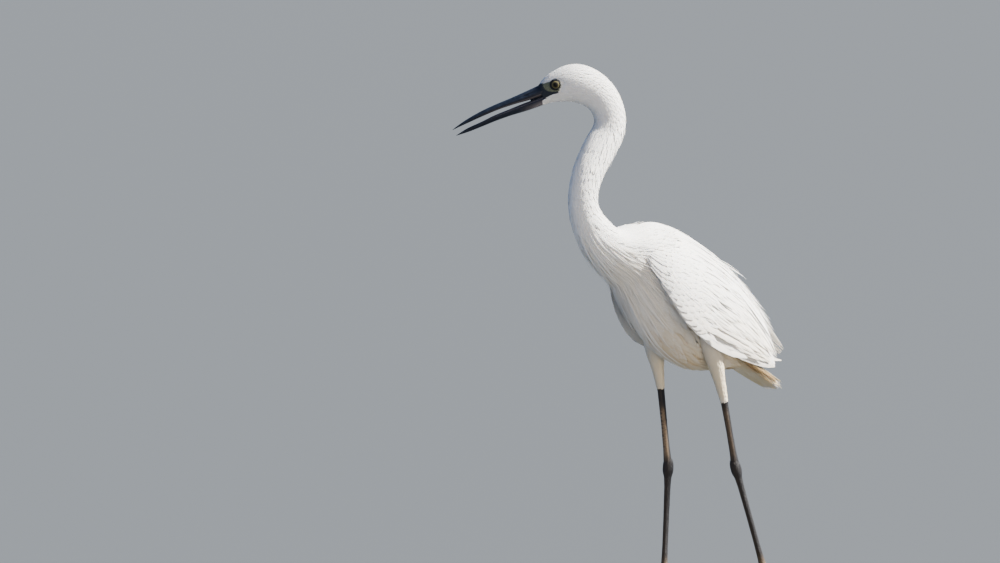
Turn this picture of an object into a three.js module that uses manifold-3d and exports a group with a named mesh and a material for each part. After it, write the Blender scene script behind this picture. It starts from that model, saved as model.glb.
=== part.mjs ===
// Little egret, life size, walking, with its head turned to its right and its bill a little open.
// Millimetres, +Z up. The bird faces -Y, its left side is +X, and it stands on Z = 0.
import * as THREE from "three";
import { mergeVertices } from "three/addons/utils/BufferGeometryUtils.js";
import Module from "manifold-3d";

const wasm = await Module();
wasm.setup();

// Clearance kept between two nodes that touch.
const GAP = 0.3;

// The spine from the rump to the face. Each station gives the point where the spine passes,
// how far the surface stands off it to the back, the belly and the side, the turn of the heading
// to the bird's right in degrees, and how much narrower the belly is than the back.
const STATIONS = [
  { at: [0, 84, 197], back: 7, belly: 9, side: 9, turn: 0, keel: 0.0 },
  { at: [0, 66, 209], back: 20, belly: 29, side: 17, turn: 0, keel: 0.1 },
  { at: [0, 36, 231], back: 32, belly: 53, side: 26, turn: 0, keel: 0.25 },
  { at: [0, 0, 255], back: 37, belly: 60, side: 32, turn: 0, keel: 0.3 },
  { at: [0, -34, 277], back: 36, belly: 51, side: 35, turn: 0, keel: 0.3 },
  { at: [0, -64, 294], back: 26, belly: 36, side: 31, turn: 0, keel: 0.25 },
  { at: [0, -88, 303], back: 15.5, belly: 26, side: 23, turn: 0, keel: 0.15 },
  { at: [0, -108, 316], back: 16, belly: 18.8, side: 17, turn: 2, keel: 0.05 },
  { at: [0, -120, 334], back: 14, belly: 14.5, side: 13.5, turn: 5, keel: 0 },
  { at: [1, -122.5, 352], back: 14, belly: 13.5, side: 12.3, turn: 9, keel: 0 },
  { at: [2.5, -117, 370], back: 14.5, belly: 15.2, side: 12.3, turn: 12, keel: 0 },
  { at: [4.5, -105.5, 388], back: 14, belly: 17, side: 12.3, turn: 15, keel: 0 },
  { at: [6, -97, 402], back: 13.7, belly: 16, side: 12.2, turn: 20, keel: 0 },
  { at: [6, -95, 416], back: 13.6, belly: 14.6, side: 12.2, turn: 27, keel: 0 },
  { at: [2.5, -99.5, 430], back: 15, belly: 14.3, side: 12.6, turn: 35, keel: 0 },
  { at: [-4.5, -107.5, 440.5], back: 16.6, belly: 15.8, side: 13.2, turn: 40, keel: 0 },
  { at: [-14, -118.5, 445], back: 18, belly: 15.7, side: 13, turn: 42, keel: 0 },
  { at: [-24.5, -130.5, 442], back: 14.6, belly: 12.8, side: 10.4, turn: 42, keel: 0 },
  { at: [-33, -140.2, 435.7], back: 9, belly: 8.6, side: 6.4, turn: 42, keel: 0 },
];
// Lengths that the spine is parted into, by the station where each ends.
const PARTS = [
  { name: "torso", from: 0, to: 5.7, rings: 17 },
  { name: "neck_base", from: 5.7, to: 7.9, rings: 7 },
  { name: "neck_middle", from: 7.9, to: 10.8, rings: 7 },
  { name: "neck_upper", from: 10.8, to: 13.8, rings: 8 },
  { name: "head", from: 13.8, to: 18, rings: 15 },
];
const SKIN_SIDES = 26;

// The bill: pitch below the horizon, lengths, and its widths from the face to the tip.
const BILL_PITCH = 23;
const BILL_TURN = 42;
const BILL_SIDES = 14;
// Each row is the distance from the face, the top and bottom edges above the bill's axis, and the half width.
const UPPER_BILL = [
  [0.3, 8.9, -0.45, 6.0],
  [12, 8.5, 0.35, 5.3],
  [26, 8.2, 2.1, 4.4],
  [40, 8.3, 3.1, 3.6],
  [54, 7.8, 3.2, 2.8],
  [68, 6.2, 2.85, 1.8],
  [79, 3.9, 2.5, 0.9],
  [83.8, 2.5, 2.2, 0.35],
];
const LOWER_BILL = [
  [0.3, -0.75, -8.4, 6.0],
  [9, -0.85, -8.1, 5.5],
  [19, -0.45, -7.3, 4.8],
  [32, -0.3, -5.9, 4.0],
  [45, -0.1, -5.1, 3.1],
  [58, -0.9, -4.9, 2.3],
  [71, -1.3, -4.6, 1.4],
  [82.6, -3.2, -3.6, 0.35],
];

// The eye, in the face's own frame: ahead of, above and beside the spine's eye station.
const EYE = { station: 17, ahead: 0, above: 3.7, beside: 6.7, radius: 5.2 };
const LID = { ring: 4.1, tube: 0.75, beside: 10.2 };
// The line of the mouth behind the bill, and the slit of each nostril.
const MOUTH = { reach: 17, wide: 30, open: 0.8, deep: 1, drop: -10, height: -2 };
const NOSTRIL = { along: 13, above: 5.2, beside: 4.1, half: [3.4, 1, 0.55] };

// The legs, hip to floor. Each joint is a point, and each length has its own radii.
const LEGS = {
  right: {
    hip: [-22, -22, 236],
    tuft: [-21.5, -9.5, 171],
    heel: [-20, -2, 102],
    foot: [-20, -7, 5.2],
    toeTurn: 4,
  },
  left: {
    hip: [22, 2, 240],
    tuft: [21.2, 27, 160],
    heel: [19, 42.7, 101.2],
    foot: [24.3, 72.4, 8],
    toeTurn: -8,
  },
};
const THIGH_RADII = [11, 10.5, 8.5, 5.4, 3.7];
const SHIN_RADII = [3.1, 2.9, 2.7, 3.1, 4.3];
const TARSUS_RADII = [4.5, 2.8, 2.5, 2.5, 2.9, 4.2];

// Toes: name, length, turn outwards from the foot's heading, radius at the root.
const TOES = [
  { name: "toe_middle", length: 58, turn: 0, radius: 2.8 },
  { name: "toe_inner", length: 45, turn: -33, radius: 2.5 },
  { name: "toe_outer", length: 49, turn: 32, radius: 2.5 },
  { name: "toe_hind", length: 26, turn: 172, radius: 2.6 },
];
const CLAW_LENGTH = 9.5;
const SOLE_CUT = 0.5;

// The left wing folded on the body: its lower edge, the line over its shoulder that the surface
// bends under, and its upper edge along the back, from the bend of the wing to the tip.
const WING_LOWER = {
  left: [
    [29, -70, 292],
    [37, -50, 262],
    [39, -30, 238],
    [38, -6, 220],
    [34, 26, 205],
    [24, 64, 193],
    [9, 100, 185],
  ],
  right: [
    [-29, -70, 290],
    [-37, -51, 256],
    [-39, -33, 228],
    [-38, -8, 211],
    [-33, 30, 204],
    [-22, 74, 196],
    [-8, 123, 188],
  ],
};
const WING_SHOULDER = [
  [27, -70, 312],
  [41, -48, 305],
  [47, -22, 293],
  [47, 6, 275],
  [42, 40, 249],
  [29, 74, 218],
  [11, 103, 192],
];
const WING_UPPER = [
  [8, -66, 319],
  [3, -42, 319],
  [1.5, -12, 310],
  [1.5, 20, 293],
  [1.5, 54, 269.5],
  [1.5, 85, 233.5],
  [2, 104, 199],
];
// Thickness of a wing's core at its middle and at its edges, and where along the wing the core ends.
const WING_CORE = { middle: 7, edge: 2, end: 0.56 };
// Height of the core's outer face off the wing's own surface, from the bend of the wing to its end.
const CORE_RISE = [
  [0, -5],
  [0.05, -0.5],
  [0.1, 1.2],
  [0.17, 0.7],
  [0.29, -2.5],
  [0.44, -5.2],
  [0.56, -5.8],
];
// Tiers of feathers: how many, where along the wing they root and end, which part of the wing's
// breadth they cover, and how high they lie. The tip runs from the first figure at the lower edge
// to the second at the upper.
const TIERS = [
  { count: 9, root: 0.42, tip: [1, 0.92], across: [0.03, 0.74], lift: [-3.3, -1], wide: 1, long: true },
  { count: 7, root: 0.25, tip: [0.68, 0.6], across: [0.05, 0.72], lift: [0, 0], wide: 1 },
  { count: 6, root: 0.11, tip: [0.44, 0.4], across: [0.06, 0.66], lift: [3.1, 3.1], wide: 1 },
  { count: 5, root: 0.2, tip: [0.84, 0.98], across: [0.68, 0.96], lift: [3.4, 2.4], wide: 1.2, long: true },
];
// A feather's half width along its length, as a share of its widest.
const VANE_OUTLINE = [
  [0, 0.5],
  [0.2, 0.9],
  [0.4, 1],
  [0.6, 1],
  [0.8, 0.9],
  [0.94, 0.55],
  [1, 0.14],
];
// The same for a short feather.
const SHORT_OUTLINE = [
  [0, 0.5],
  [0.28, 0.95],
  [0.62, 1],
  [0.9, 0.68],
  [1, 0.16],
];
const VANE = { thick: 0.7, tilt: 0.95, overlap: 0.66, sunk: 1.4 };

// The right wing's tip reaches a little further back and up.
const RIGHT_WING_TIP = [0, 17, 0];

// The tail: root and tip of its midline, and its feathers in a fan with the middle pair on top.
const TAIL = { root: [0, 56, 201], tip: [0, 109, 169], pairs: 6, step: 1.05, half: 5.6, fan: 9.5 };
const TAIL_COVERTS = { length: 0.62, half: 13, above: 5, below: 9 };

// Long lance-shaped feathers down the front of the breast: the node they grow from, how many, the
// stations of their roots and tips, the angles they spread over, their half width and height.
const BREAST_PLUMES = [
  { from: "torso", count: 9, root: 5.35, tip: [3.2, 3.9], spread: 62, half: 2.3, lift: 1, droop: 2 },
  { from: "neck_base", count: 11, root: 7.2, tip: [4.0, 4.9], spread: 70, half: 2, lift: 3, droop: 2.5 },
];

const rad = THREE.MathUtils.degToRad;
const vec = (p) => new THREE.Vector3(...p);
const lerp = THREE.MathUtils.lerp;

// A smooth curve through rows of three numbers.
const curveThrough = (rows) => new THREE.CatmullRomCurve3(rows.map(vec), false, "catmullrom", 0.5);

const spineCurve = curveThrough(STATIONS.map((s) => s.at));
const girthCurve = curveThrough(STATIONS.map((s) => [s.back, s.belly, s.side]));
const poseCurve = curveThrough(STATIONS.map((s) => [s.turn, s.keel, 0]));

// The spine's point, its axes and the girth at a station number, which may lie between two.
function spineAt(station) {
  const t = THREE.MathUtils.clamp(station / (STATIONS.length - 1), 0, 1);
  const step = 1e-3;
  const ahead = spineCurve
    .getPoint(Math.min(1, t + step))
    .sub(spineCurve.getPoint(Math.max(0, t - step)))
    .normalize();
  const girth = girthCurve.getPoint(t);
  const pose = poseCurve.getPoint(t);
  const turn = rad(pose.x);
  const left = new THREE.Vector3(Math.cos(turn), -Math.sin(turn), 0);
  left.addScaledVector(ahead, -left.dot(ahead)).normalize();
  const back = new THREE.Vector3().crossVectors(ahead, left);
  return { point: spineCurve.getPoint(t), ahead, left, back, girth, keel: pose.y };
}

// A point of the body's surface: angle 0 is the back, a quarter turn the left side. grow moves it outwards.
function skin(station, angle, grow = 0) {
  const s = spineAt(station);
  const c = Math.cos(angle);
  const rise = c > 0 ? s.girth.x : s.girth.y;
  const narrow = 1 - (s.keel * (1 - c)) / 2;
  return s.point
    .clone()
    .addScaledVector(s.back, (rise + grow) * c)
    .addScaledVector(s.left, (s.girth.z * narrow + grow) * Math.sin(angle));
}

// A geometry that keeps only its positions, with shared corners merged.
function welded(geometry) {
  const bare = new THREE.BufferGeometry();
  bare.setAttribute("position", geometry.getAttribute("position"));
  bare.setIndex(geometry.getIndex());
  return mergeVertices(bare, 1e-3);
}

// A closed body of rings: ring(t, angle) gives its surface and pole(t) its two flat or pointed ends.
function ringBody(ring, pole, sides, rings) {
  const sphere = new THREE.SphereGeometry(1, sides, rings + 2);
  const position = sphere.getAttribute("position");
  for (let row = 0, n = 0; row <= rings + 2; row++)
    for (let side = 0; side <= sides; side++, n++) {
      const t = THREE.MathUtils.clamp((row - 1) / rings, 0, 1);
      const onAxis = row === 0 || row === rings + 2;
      const angle = ((side % sides) / sides) * 2 * Math.PI;
      const p = onAxis ? pole(t) : ring(t, angle);
      position.setXYZ(n, p.x, p.y, p.z);
    }
  return welded(sphere);
}

// A geometry as a solid, turned the right way out.
function solid(geometry) {
  const position = new Float32Array(geometry.getAttribute("position").array);
  const triVerts = new Uint32Array(geometry.getIndex().array);
  const make = () =>
    new wasm.Manifold(new wasm.Mesh({ numProp: 3, vertProperties: position, triVerts }));
  const made = make();
  if (made.volume() > 0) return made;
  for (let i = 0; i < triVerts.length; i += 3)
    [triVerts[i + 1], triVerts[i + 2]] = [triVerts[i + 2], triVerts[i + 1]];
  return make();
}

// The largest closed surface of a solid, filled.
function largest(made) {
  const pieces = made.decompose();
  pieces.sort((a, b) => b.volume() - a.volume());
  return pieces[0];
}

// A solid's surface as a geometry for a mesh.
function surfaceOf(made) {
  const { vertProperties, triVerts, numProp } = made.getMesh();
  const position = new Float32Array((vertProperties.length / numProp) * 3);
  for (let i = 0; i < position.length / 3; i++)
    position.set(vertProperties.subarray(i * numProp, i * numProp + 3), i * 3);
  const geometry = new THREE.BufferGeometry();
  geometry.setAttribute("position", new THREE.BufferAttribute(position, 3));
  geometry.setIndex(new THREE.BufferAttribute(new Uint32Array(triVerts), 1));
  geometry.computeVertexNormals();
  return geometry;
}

// One length of the body between two stations, with flat ends half a gap short of them.
function bodyLength({ from, to, rings }, grow = 0) {
  const shorten = (station, inward) => {
    const stretch = spineAt(station + 0.05).point.distanceTo(spineAt(station - 0.05).point) / 0.1;
    return station + (inward * GAP) / 2 / stretch;
  };
  const first = from === 0 ? 0 : shorten(from, 1);
  const last = to === STATIONS.length - 1 ? to : shorten(to, -1);
  return solid(
    ringBody(
      (t, angle) => skin(lerp(first, last, t), angle, grow),
      (t) => spineAt(lerp(first, last, t)).point,
      SKIN_SIDES,
      rings,
    ),
  );
}

// A round limb through points, with radii spread evenly along it.
function limb(points, radii, sides, rings) {
  const path = curveThrough(points);
  const radiusAt = curveThrough(radii.map((r) => [r, 0, 0]));
  return solid(
    ringBody(
      (t, angle) => {
        const ahead = path.getTangent(t);
        const side = new THREE.Vector3(1, 0, 0);
        side.addScaledVector(ahead, -side.dot(ahead)).normalize();
        const front = new THREE.Vector3().crossVectors(ahead, side);
        const r = radiusAt.getPoint(t).x;
        return path
          .getPoint(t)
          .addScaledVector(side, r * Math.cos(angle))
          .addScaledVector(front, r * Math.sin(angle));
      },
      (t) => path.getPoint(t),
      sides,
      rings,
    ),
  );
}

const materials = {
  plumage: new THREE.MeshStandardMaterial({ color: 0xf4f1ea, roughness: 0.85, metalness: 0 }),
  bill: new THREE.MeshStandardMaterial({ color: 0x1d232b, roughness: 0.35, metalness: 0 }),
  lowerBill: new THREE.MeshStandardMaterial({ color: 0x3a3336, roughness: 0.4, metalness: 0 }),
  eye: new THREE.MeshStandardMaterial({ color: 0xd9c66a, roughness: 0.1, metalness: 0 }),
  leg: new THREE.MeshStandardMaterial({ color: 0x24252a, roughness: 0.6, metalness: 0 }),
  toe: new THREE.MeshStandardMaterial({ color: 0xa9a53c, roughness: 0.6, metalness: 0 }),
  claw: new THREE.MeshStandardMaterial({ color: 0x2b2724, roughness: 0.4, metalness: 0 }),
};

const bird = new THREE.Group();
function addNode(name, made, material) {
  const mesh = new THREE.Mesh(surfaceOf(largest(made)), material);
  mesh.name = name;
  bird.add(mesh);
}

// The face's own axes at the eye station: ahead along the bill's heading, above, and to the left.
const face = spineAt(EYE.station);
const headLeft = new THREE.Vector3(Math.cos(rad(BILL_TURN)), -Math.sin(rad(BILL_TURN)), 0);

function eyePlace(side, beside) {
  return face.point
    .clone()
    .addScaledVector(face.ahead, EYE.ahead)
    .addScaledVector(face.back, EYE.above)
    .addScaledVector(face.left, side * beside);
}

function ball(centre, radius, sides, rings) {
  const sphere = new THREE.SphereGeometry(radius, sides, rings);
  sphere.translate(centre.x, centre.y, centre.z);
  return solid(welded(sphere));
}

// The ring of bare skin round an eye.
function lid(side) {
  const ring = new THREE.TorusGeometry(LID.ring, LID.tube, 5, 16);
  const facing = new THREE.Quaternion().setFromUnitVectors(new THREE.Vector3(0, 0, 1), face.left);
  ring.applyQuaternion(facing);
  const at = eyePlace(side, LID.beside);
  ring.translate(at.x, at.y, at.z);
  return solid(welded(ring));
}

// The bill's axes: its root on the face, ahead along it, and above.
const billRoot = spineAt(STATIONS.length - 1).point;
const billAhead = new THREE.Vector3(
  -Math.sin(rad(BILL_TURN)) * Math.cos(rad(BILL_PITCH)),
  -Math.cos(rad(BILL_TURN)) * Math.cos(rad(BILL_PITCH)),
  -Math.sin(rad(BILL_PITCH)),
);
const billAbove = new THREE.Vector3().crossVectors(billAhead, headLeft);

// One mandible, lofted along the bill's axis from its rows of edges and widths.
function mandible(rows, flatTop) {
  const edges = curveThrough(rows.map((r) => [r[0], r[1], r[2]]));
  const widths = curveThrough(rows.map((r) => [r[3], 0, 0]));
  const place = (along, height, beside) =>
    billRoot
      .clone()
      .addScaledVector(billAhead, along)
      .addScaledVector(billAbove, height)
      .addScaledVector(headLeft, beside);
  return solid(
    ringBody(
      (t, angle) => {
        const e = edges.getPoint(t);
        const half = widths.getPoint(t).x;
        const c = Math.cos(angle) * flatTop;
        const middle = (e.y + e.z) / 2;
        // The gape side is flat and wide, and the far side a narrow ridge.
        const lean = 1 - 0.22 * c;
        return place(
          e.x,
          middle + ((e.y - e.z) / 2) * Math.cos(angle),
          half * lean * Math.sign(Math.sin(angle)) * Math.abs(Math.sin(angle)) ** 0.8,
        );
      },
      (t) => {
        const e = edges.getPoint(t);
        return place(e.x, (e.y + e.z) / 2, 0);
      },
      BILL_SIDES,
      13,
    ),
  );
}

// The head with its lids, eye sockets and the line of the mouth running back from the bill.
function carvedHead(head, part) {
  const backwards = billAhead.clone().negate();
  let made = wasm.Manifold.union([head, lid(1), lid(-1)]);
  for (const side of [1, -1])
    made = made.subtract(ball(eyePlace(side, EYE.beside), EYE.radius + GAP, 14, 8));
  const slot = new THREE.BoxGeometry(MOUTH.reach, MOUTH.wide, MOUTH.open);
  const axes = new THREE.Matrix4().makeBasis(billAhead, headLeft, billAbove);
  slot.rotateY(rad(MOUTH.drop));
  slot.applyMatrix4(axes);
  const at = billRoot
    .clone()
    .addScaledVector(billAhead, -MOUTH.reach / 2 + 1)
    .addScaledVector(billAbove, MOUTH.height);
  slot.translate(at.x, at.y, at.z);
  const groove = solid(welded(slot)).subtract(bodyLength(part, -MOUTH.deep));
  return made.subtract(groove).trimByPlane(backwards.toArray(), backwards.dot(billRoot));
}

const torsoGrown = bodyLength(PARTS[0], GAP);

// A value read off rows of [where, value] in between which it runs straight.
function readOff(rows, x) {
  for (let i = 1; i < rows.length; i++)
    if (x <= rows[i][0]) {
      const [x0, y0] = rows[i - 1];
      const [x1, y1] = rows[i];
      return lerp(y0, y1, THREE.MathUtils.clamp((x - x0) / (x1 - x0), 0, 1));
    }
  return rows[rows.length - 1][1];
}

// A closed sheet between an outer and an inner face, both split into the same triangles.
function sheet(columns, rows, outer, inner) {
  const stride = rows + 1;
  const count = (columns + 1) * stride;
  const position = new Float32Array(count * 6);
  for (let i = 0; i <= columns; i++)
    for (let j = 0; j <= rows; j++) {
      const n = i * stride + j;
      position.set(outer(i / columns, j / rows).toArray(), n * 3);
      position.set(inner(i / columns, j / rows).toArray(), (n + count) * 3);
    }
  const index = [];
  const quad = (a, b, c, d) => index.push(a, b, c, a, c, d);
  for (let i = 0; i < columns; i++)
    for (let j = 0; j < rows; j++) {
      const a = i * stride + j;
      const [b, c, d] = [a + stride, a + stride + 1, a + 1];
      index.push(a, b, c, a, c, d);
      index.push(a + count, c + count, b + count, a + count, d + count, c + count);
    }
  for (let i = 0; i < columns; i++) {
    const low = i * stride;
    const high = low + rows;
    quad(low, low + count, low + stride + count, low + stride);
    quad(high, high + stride, high + stride + count, high + count);
  }
  for (let j = 0; j < rows; j++) {
    const last = columns * stride + j;
    quad(j, j + 1, j + 1 + count, j + count);
    quad(last, last + count, last + 1 + count, last + 1);
  }
  const geometry = new THREE.BufferGeometry();
  geometry.setAttribute("position", new THREE.BufferAttribute(position, 3));
  geometry.setIndex(index);
  return solid(geometry);
}

// One feather: a thin tapering sheet. place(t, s, height) gives its points, with t along it from
// its root and s across it from -1 to 1, and height off the surface that it lies on.
function vane(place, height, outline = SHORT_OUTLINE) {
  const last = outline.length - 1;
  const point = (t, s, face) => {
    const [along, width] = outline[Math.round(t * last)];
    const side = s * 2 - 1;
    return place(along, side * width, height(along, side) + (face * VANE.thick) / 2);
  };
  return sheet(
    last,
    1,
    (t, s) => point(t, s, 1),
    (t, s) => point(t, s, -1),
  );
}

// A feather's height along its length: its root is sunk in what it grows from, and it rises soon after.
const rising = (t, ground, height) =>
  lerp(ground - VANE.sunk, height, THREE.MathUtils.smoothstep(t, 0, 0.2));

// The breast's long feathers on one node, lying over the skin and loose at their tips.
function breastPlumes(row) {
  const made = [];
  for (let i = 0; i < row.count; i++) {
    const share = i / (row.count - 1);
    const angle = Math.PI + rad(row.spread) * (share * 2 - 1);
    const flank = Math.abs(share * 2 - 1);
    const tip = lerp(row.tip[0], row.tip[1], 0.5 + 0.5 * Math.sin(i * 2.4)) + 0.7 * flank;
    const root = row.root - 0.25 * (i % 3);
    const loose = row.droop * (0.7 + 0.3 * Math.cos(i * 1.7));
    made.push(
      vane(
        (t, s, height) => {
          const station = lerp(root, tip, t);
          const round = spineAt(station).girth.z;
          return skin(station, angle + (s * row.half) / round, height);
        },
        (t) => rising(t, 0, row.lift + loose * t ** 3 + 0.9 * (i % 2)),
        VANE_OUTLINE,
      ),
    );
  }
  return made;
}


for (const part of PARTS) {
  let made = bodyLength(part);
  if (part.name === "head") made = carvedHead(made, part);
  for (const row of BREAST_PLUMES)
    if (row.from === part.name) made = wasm.Manifold.union([made, ...breastPlumes(row)]);
  addNode(part.name, made, materials.plumage);
}
for (const [name, side] of [
  ["eye_left", 1],
  ["eye_right", -1],
])
  addNode(name, ball(eyePlace(side, EYE.beside), EYE.radius, 14, 8), materials.eye);

// The upper mandible with its nostrils cut in.
function nostrilledBill() {
  let made = mandible(UPPER_BILL, 1);
  for (const side of [1, -1]) {
    const slit = new THREE.SphereGeometry(1, 6, 4);
    slit.scale(...NOSTRIL.half);
    slit.applyMatrix4(new THREE.Matrix4().makeBasis(billAhead, headLeft, billAbove));
    const at = billRoot
      .clone()
      .addScaledVector(billAhead, NOSTRIL.along)
      .addScaledVector(billAbove, NOSTRIL.above)
      .addScaledVector(headLeft, side * NOSTRIL.beside);
    slit.translate(at.x, at.y, at.z);
    made = made.subtract(solid(welded(slit)));
  }
  return made;
}
addNode("bill_upper", nostrilledBill(), materials.bill);
addNode("bill_lower", mandible(LOWER_BILL, -1), materials.lowerBill);

// Legs and feet

function between(a, b, t) {
  return vec(a).lerp(vec(b), t);
}

// What is left of a solid ahead of a plane through a point, half a gap off it.
function aheadOf(made, point, way) {
  return made.trimByPlane(way.toArray(), way.dot(point) + GAP / 2);
}

// The feathered part of a leg, swollen by grow.
function thighBody(leg, grow = 0) {
  const radii = THIGH_RADII.map((r) => r + grow);
  return limb([leg.hip, leg.tuft], radii, 15, 6);
}

function legNodes(side, leg) {
  const hip = vec(leg.hip);
  const tuft = vec(leg.tuft);
  const heel = vec(leg.heel);
  const foot = vec(leg.foot);
  const thighEnd = tuft.clone().sub(hip).normalize();
  const shinWay = heel.clone().sub(tuft).normalize();
  const tarsusWay = foot.clone().sub(heel).normalize();
  addNode("thigh_" + side, thighBody(leg).subtract(torsoGrown), materials.plumage);
  const shinTop = tuft.clone().addScaledVector(thighEnd, GAP);
  const shin = limb([shinTop.toArray(), heel.toArray()], SHIN_RADII, 11, 6);
  const joint = heel.clone().addScaledVector(shinWay, -4);
  const bend = shinWay.clone().add(tarsusWay).normalize();
  const shinCut = aheadOf(shin, joint, bend.clone().negate());
  addNode("shin_" + side, aheadOf(shinCut, tuft, thighEnd), materials.leg);
  const top = heel.clone().addScaledVector(tarsusWay, -7);
  const tarsus = limb([top.toArray(), leg.foot], TARSUS_RADII, 11, 8);
  addNode("tarsus_" + side, aheadOf(tarsus, joint, bend), materials.leg);
}
for (const side of ["left", "right"]) legNodes(side, LEGS[side]);

// A toe's heading, and its body from the foot to the claw, swollen by grow.
function toeWay(side, leg, toe) {
  const out = side === "left" ? 1 : -1;
  const heading = rad(leg.toeTurn * out + toe.turn * out);
  return new THREE.Vector3(Math.sin(heading), -Math.cos(heading), 0);
}

function toeEnd(side, leg, toe) {
  const end = vec(leg.foot).addScaledVector(toeWay(side, leg, toe), toe.length);
  end.z = toe.radius * 0.75 - SOLE_CUT;
  return end;
}

function toeBody(side, leg, toe, grow = 0) {
  const way = toeWay(side, leg, toe);
  const foot = vec(leg.foot);
  const start = foot.clone().addScaledVector(way, 2);
  start.z = Math.max(foot.z - 2, toe.radius);
  const landed = foot.clone().addScaledVector(way, toe.length * 0.45);
  landed.z = toe.radius - SOLE_CUT;
  const mid = start.clone().lerp(landed, 0.5);
  const r = toe.radius;
  const radii = [r * 0.9, r, r * 0.85, r * 0.95, r * 0.75, r * 0.8, r * 0.6];
  return limb(
    [start, mid, landed, toeEnd(side, leg, toe)].map((p) => p.toArray()),
    radii.map((v) => v + grow),
    7,
    7,
  );
}

const groundBox = new THREE.BoxGeometry(400, 400, 20);
groundBox.translate(0, 0, -10);
const ground = solid(welded(groundBox));

function toeNodes(side, leg) {
  const way = vec(leg.foot).sub(vec(leg.heel)).normalize();
  const shank = limb(
    [vec(leg.heel).toArray(), vec(leg.foot).addScaledVector(way, GAP).toArray()],
    TARSUS_RADII.slice(2).map((r) => r + GAP),
    12,
    10,
  );
  const middle = toeBody(side, leg, TOES[0], GAP);
  for (const toe of TOES) {
    let made = toeBody(side, leg, toe).subtract(ground).subtract(shank);
    if (toe !== TOES[0]) made = made.subtract(middle);
    addNode(toe.name + "_" + side, made, materials.toe);
    const clawWay = toeWay(side, leg, toe);
    const start = toeEnd(side, leg, toe).addScaledVector(clawWay, GAP);
    start.z = 2.2;
    const crown = start.clone().addScaledVector(clawWay, CLAW_LENGTH * 0.5);
    crown.z = 2.6;
    const point = start.clone().addScaledVector(clawWay, CLAW_LENGTH);
    point.z = 0.6;
    const claw = limb([start, crown, point].map((p) => p.toArray()), [1.5, 1.3, 0.9, 0.3], 7, 4);
    addNode(
      "claw_" + toe.name.slice(4) + "_" + side,
      aheadOf(claw, toeEnd(side, leg, toe), clawWay),
      materials.claw,
    );
  }
}
for (const side of ["left", "right"]) toeNodes(side, LEGS[side]);

// Wings

// A wing's surface: along runs from the bend of the wing to its tip, across from the lower edge up.
function wingSurface(side) {
  const out = side === "left" ? 1 : -1;
  const tip = side === "left" ? [0, 0, 0] : RIGHT_WING_TIP;
  const moved = (rows) =>
    rows.map((row, i) => {
      const share = (i / (rows.length - 1)) ** 12;
      return [out * row[0], row[1] + tip[1] * share, row[2] + tip[2] * share];
    });
  const lower = curveThrough(WING_LOWER[side]);
  const shoulder = curveThrough(moved(WING_SHOULDER));
  const upper = curveThrough(moved(WING_UPPER));
  const point = (along, across) => {
    const p = THREE.MathUtils.clamp(along, 0, 1);
    return lower
      .getPoint(p)
      .multiplyScalar((1 - across) ** 2)
      .addScaledVector(shoulder.getPoint(p), 2 * across * (1 - across))
      .addScaledVector(upper.getPoint(p), across ** 2);
  };
  const normal = (along, across) => {
    const e = 1e-3;
    const p = THREE.MathUtils.clamp(along, e, 1 - e);
    const dp = point(p + e, across).sub(point(p - e, across));
    const dq = point(p, across + e).sub(point(p, across - e));
    return dp.cross(dq).multiplyScalar(out).normalize();
  };
  return (along, across, height) =>
    point(along, across).addScaledVector(normal(along, across), height);
}

function wingFeathers(surface, side) {
  const made = [];
  for (const tier of TIERS) {
    const [low, high] = tier.across;
    const spacing = (high - low) / (tier.count - 1);
    const half = spacing * VANE.overlap * tier.wide;
    const ground = readOff(CORE_RISE, tier.root);
    const settle = (t) => lerp(...tier.lift, THREE.MathUtils.smoothstep(t, 0.5, 1));
    for (let i = 0; i < tier.count; i++) {
      const share = i / (tier.count - 1);
      const middle = lerp(low + half * 0.9, high, share);
      // Tips step unevenly, as worn and shifting feathers do.
      const uneven = 0.012 * Math.sin(i * 2.4 + (side === "left" ? 0 : 1.3));
      const tip = Math.min(1, lerp(tier.tip[0], tier.tip[1], share) + uneven);
      made.push(
        vane(
          (t, s, height) =>
            surface(lerp(tier.root, tip, t), Math.min(1, middle + s * half), height),
          (t, s) => rising(t, ground, settle(t) - VANE.tilt * tier.wide * s),
          tier.long ? VANE_OUTLINE : SHORT_OUTLINE,
        ),
      );
    }
  }
  return made;
}

function wingCore(surface) {
  const depth = (across) =>
    lerp(WING_CORE.edge, WING_CORE.middle, THREE.MathUtils.smoothstep(Math.min(across, 1 - across), 0, 0.2));
  return sheet(
    11,
    6,
    (p, q) => surface(p * WING_CORE.end, q, readOff(CORE_RISE, p * WING_CORE.end)),
    (p, q) => surface(p * WING_CORE.end, q, readOff(CORE_RISE, p * WING_CORE.end) - depth(q)),
  );
}

for (const side of ["left", "right"]) {
  const out = side === "left" ? 1 : -1;
  const surface = wingSurface(side);
  const whole = wasm.Manifold.union([wingCore(surface), ...wingFeathers(surface, side)]);
  const half = whole.trimByPlane([out, 0, 0], 0.4);
  const clear = half.subtract(torsoGrown).subtract(thighBody(LEGS[side], GAP));
  addNode("wing_" + side, clear, materials.plumage);
}

// Tail

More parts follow.
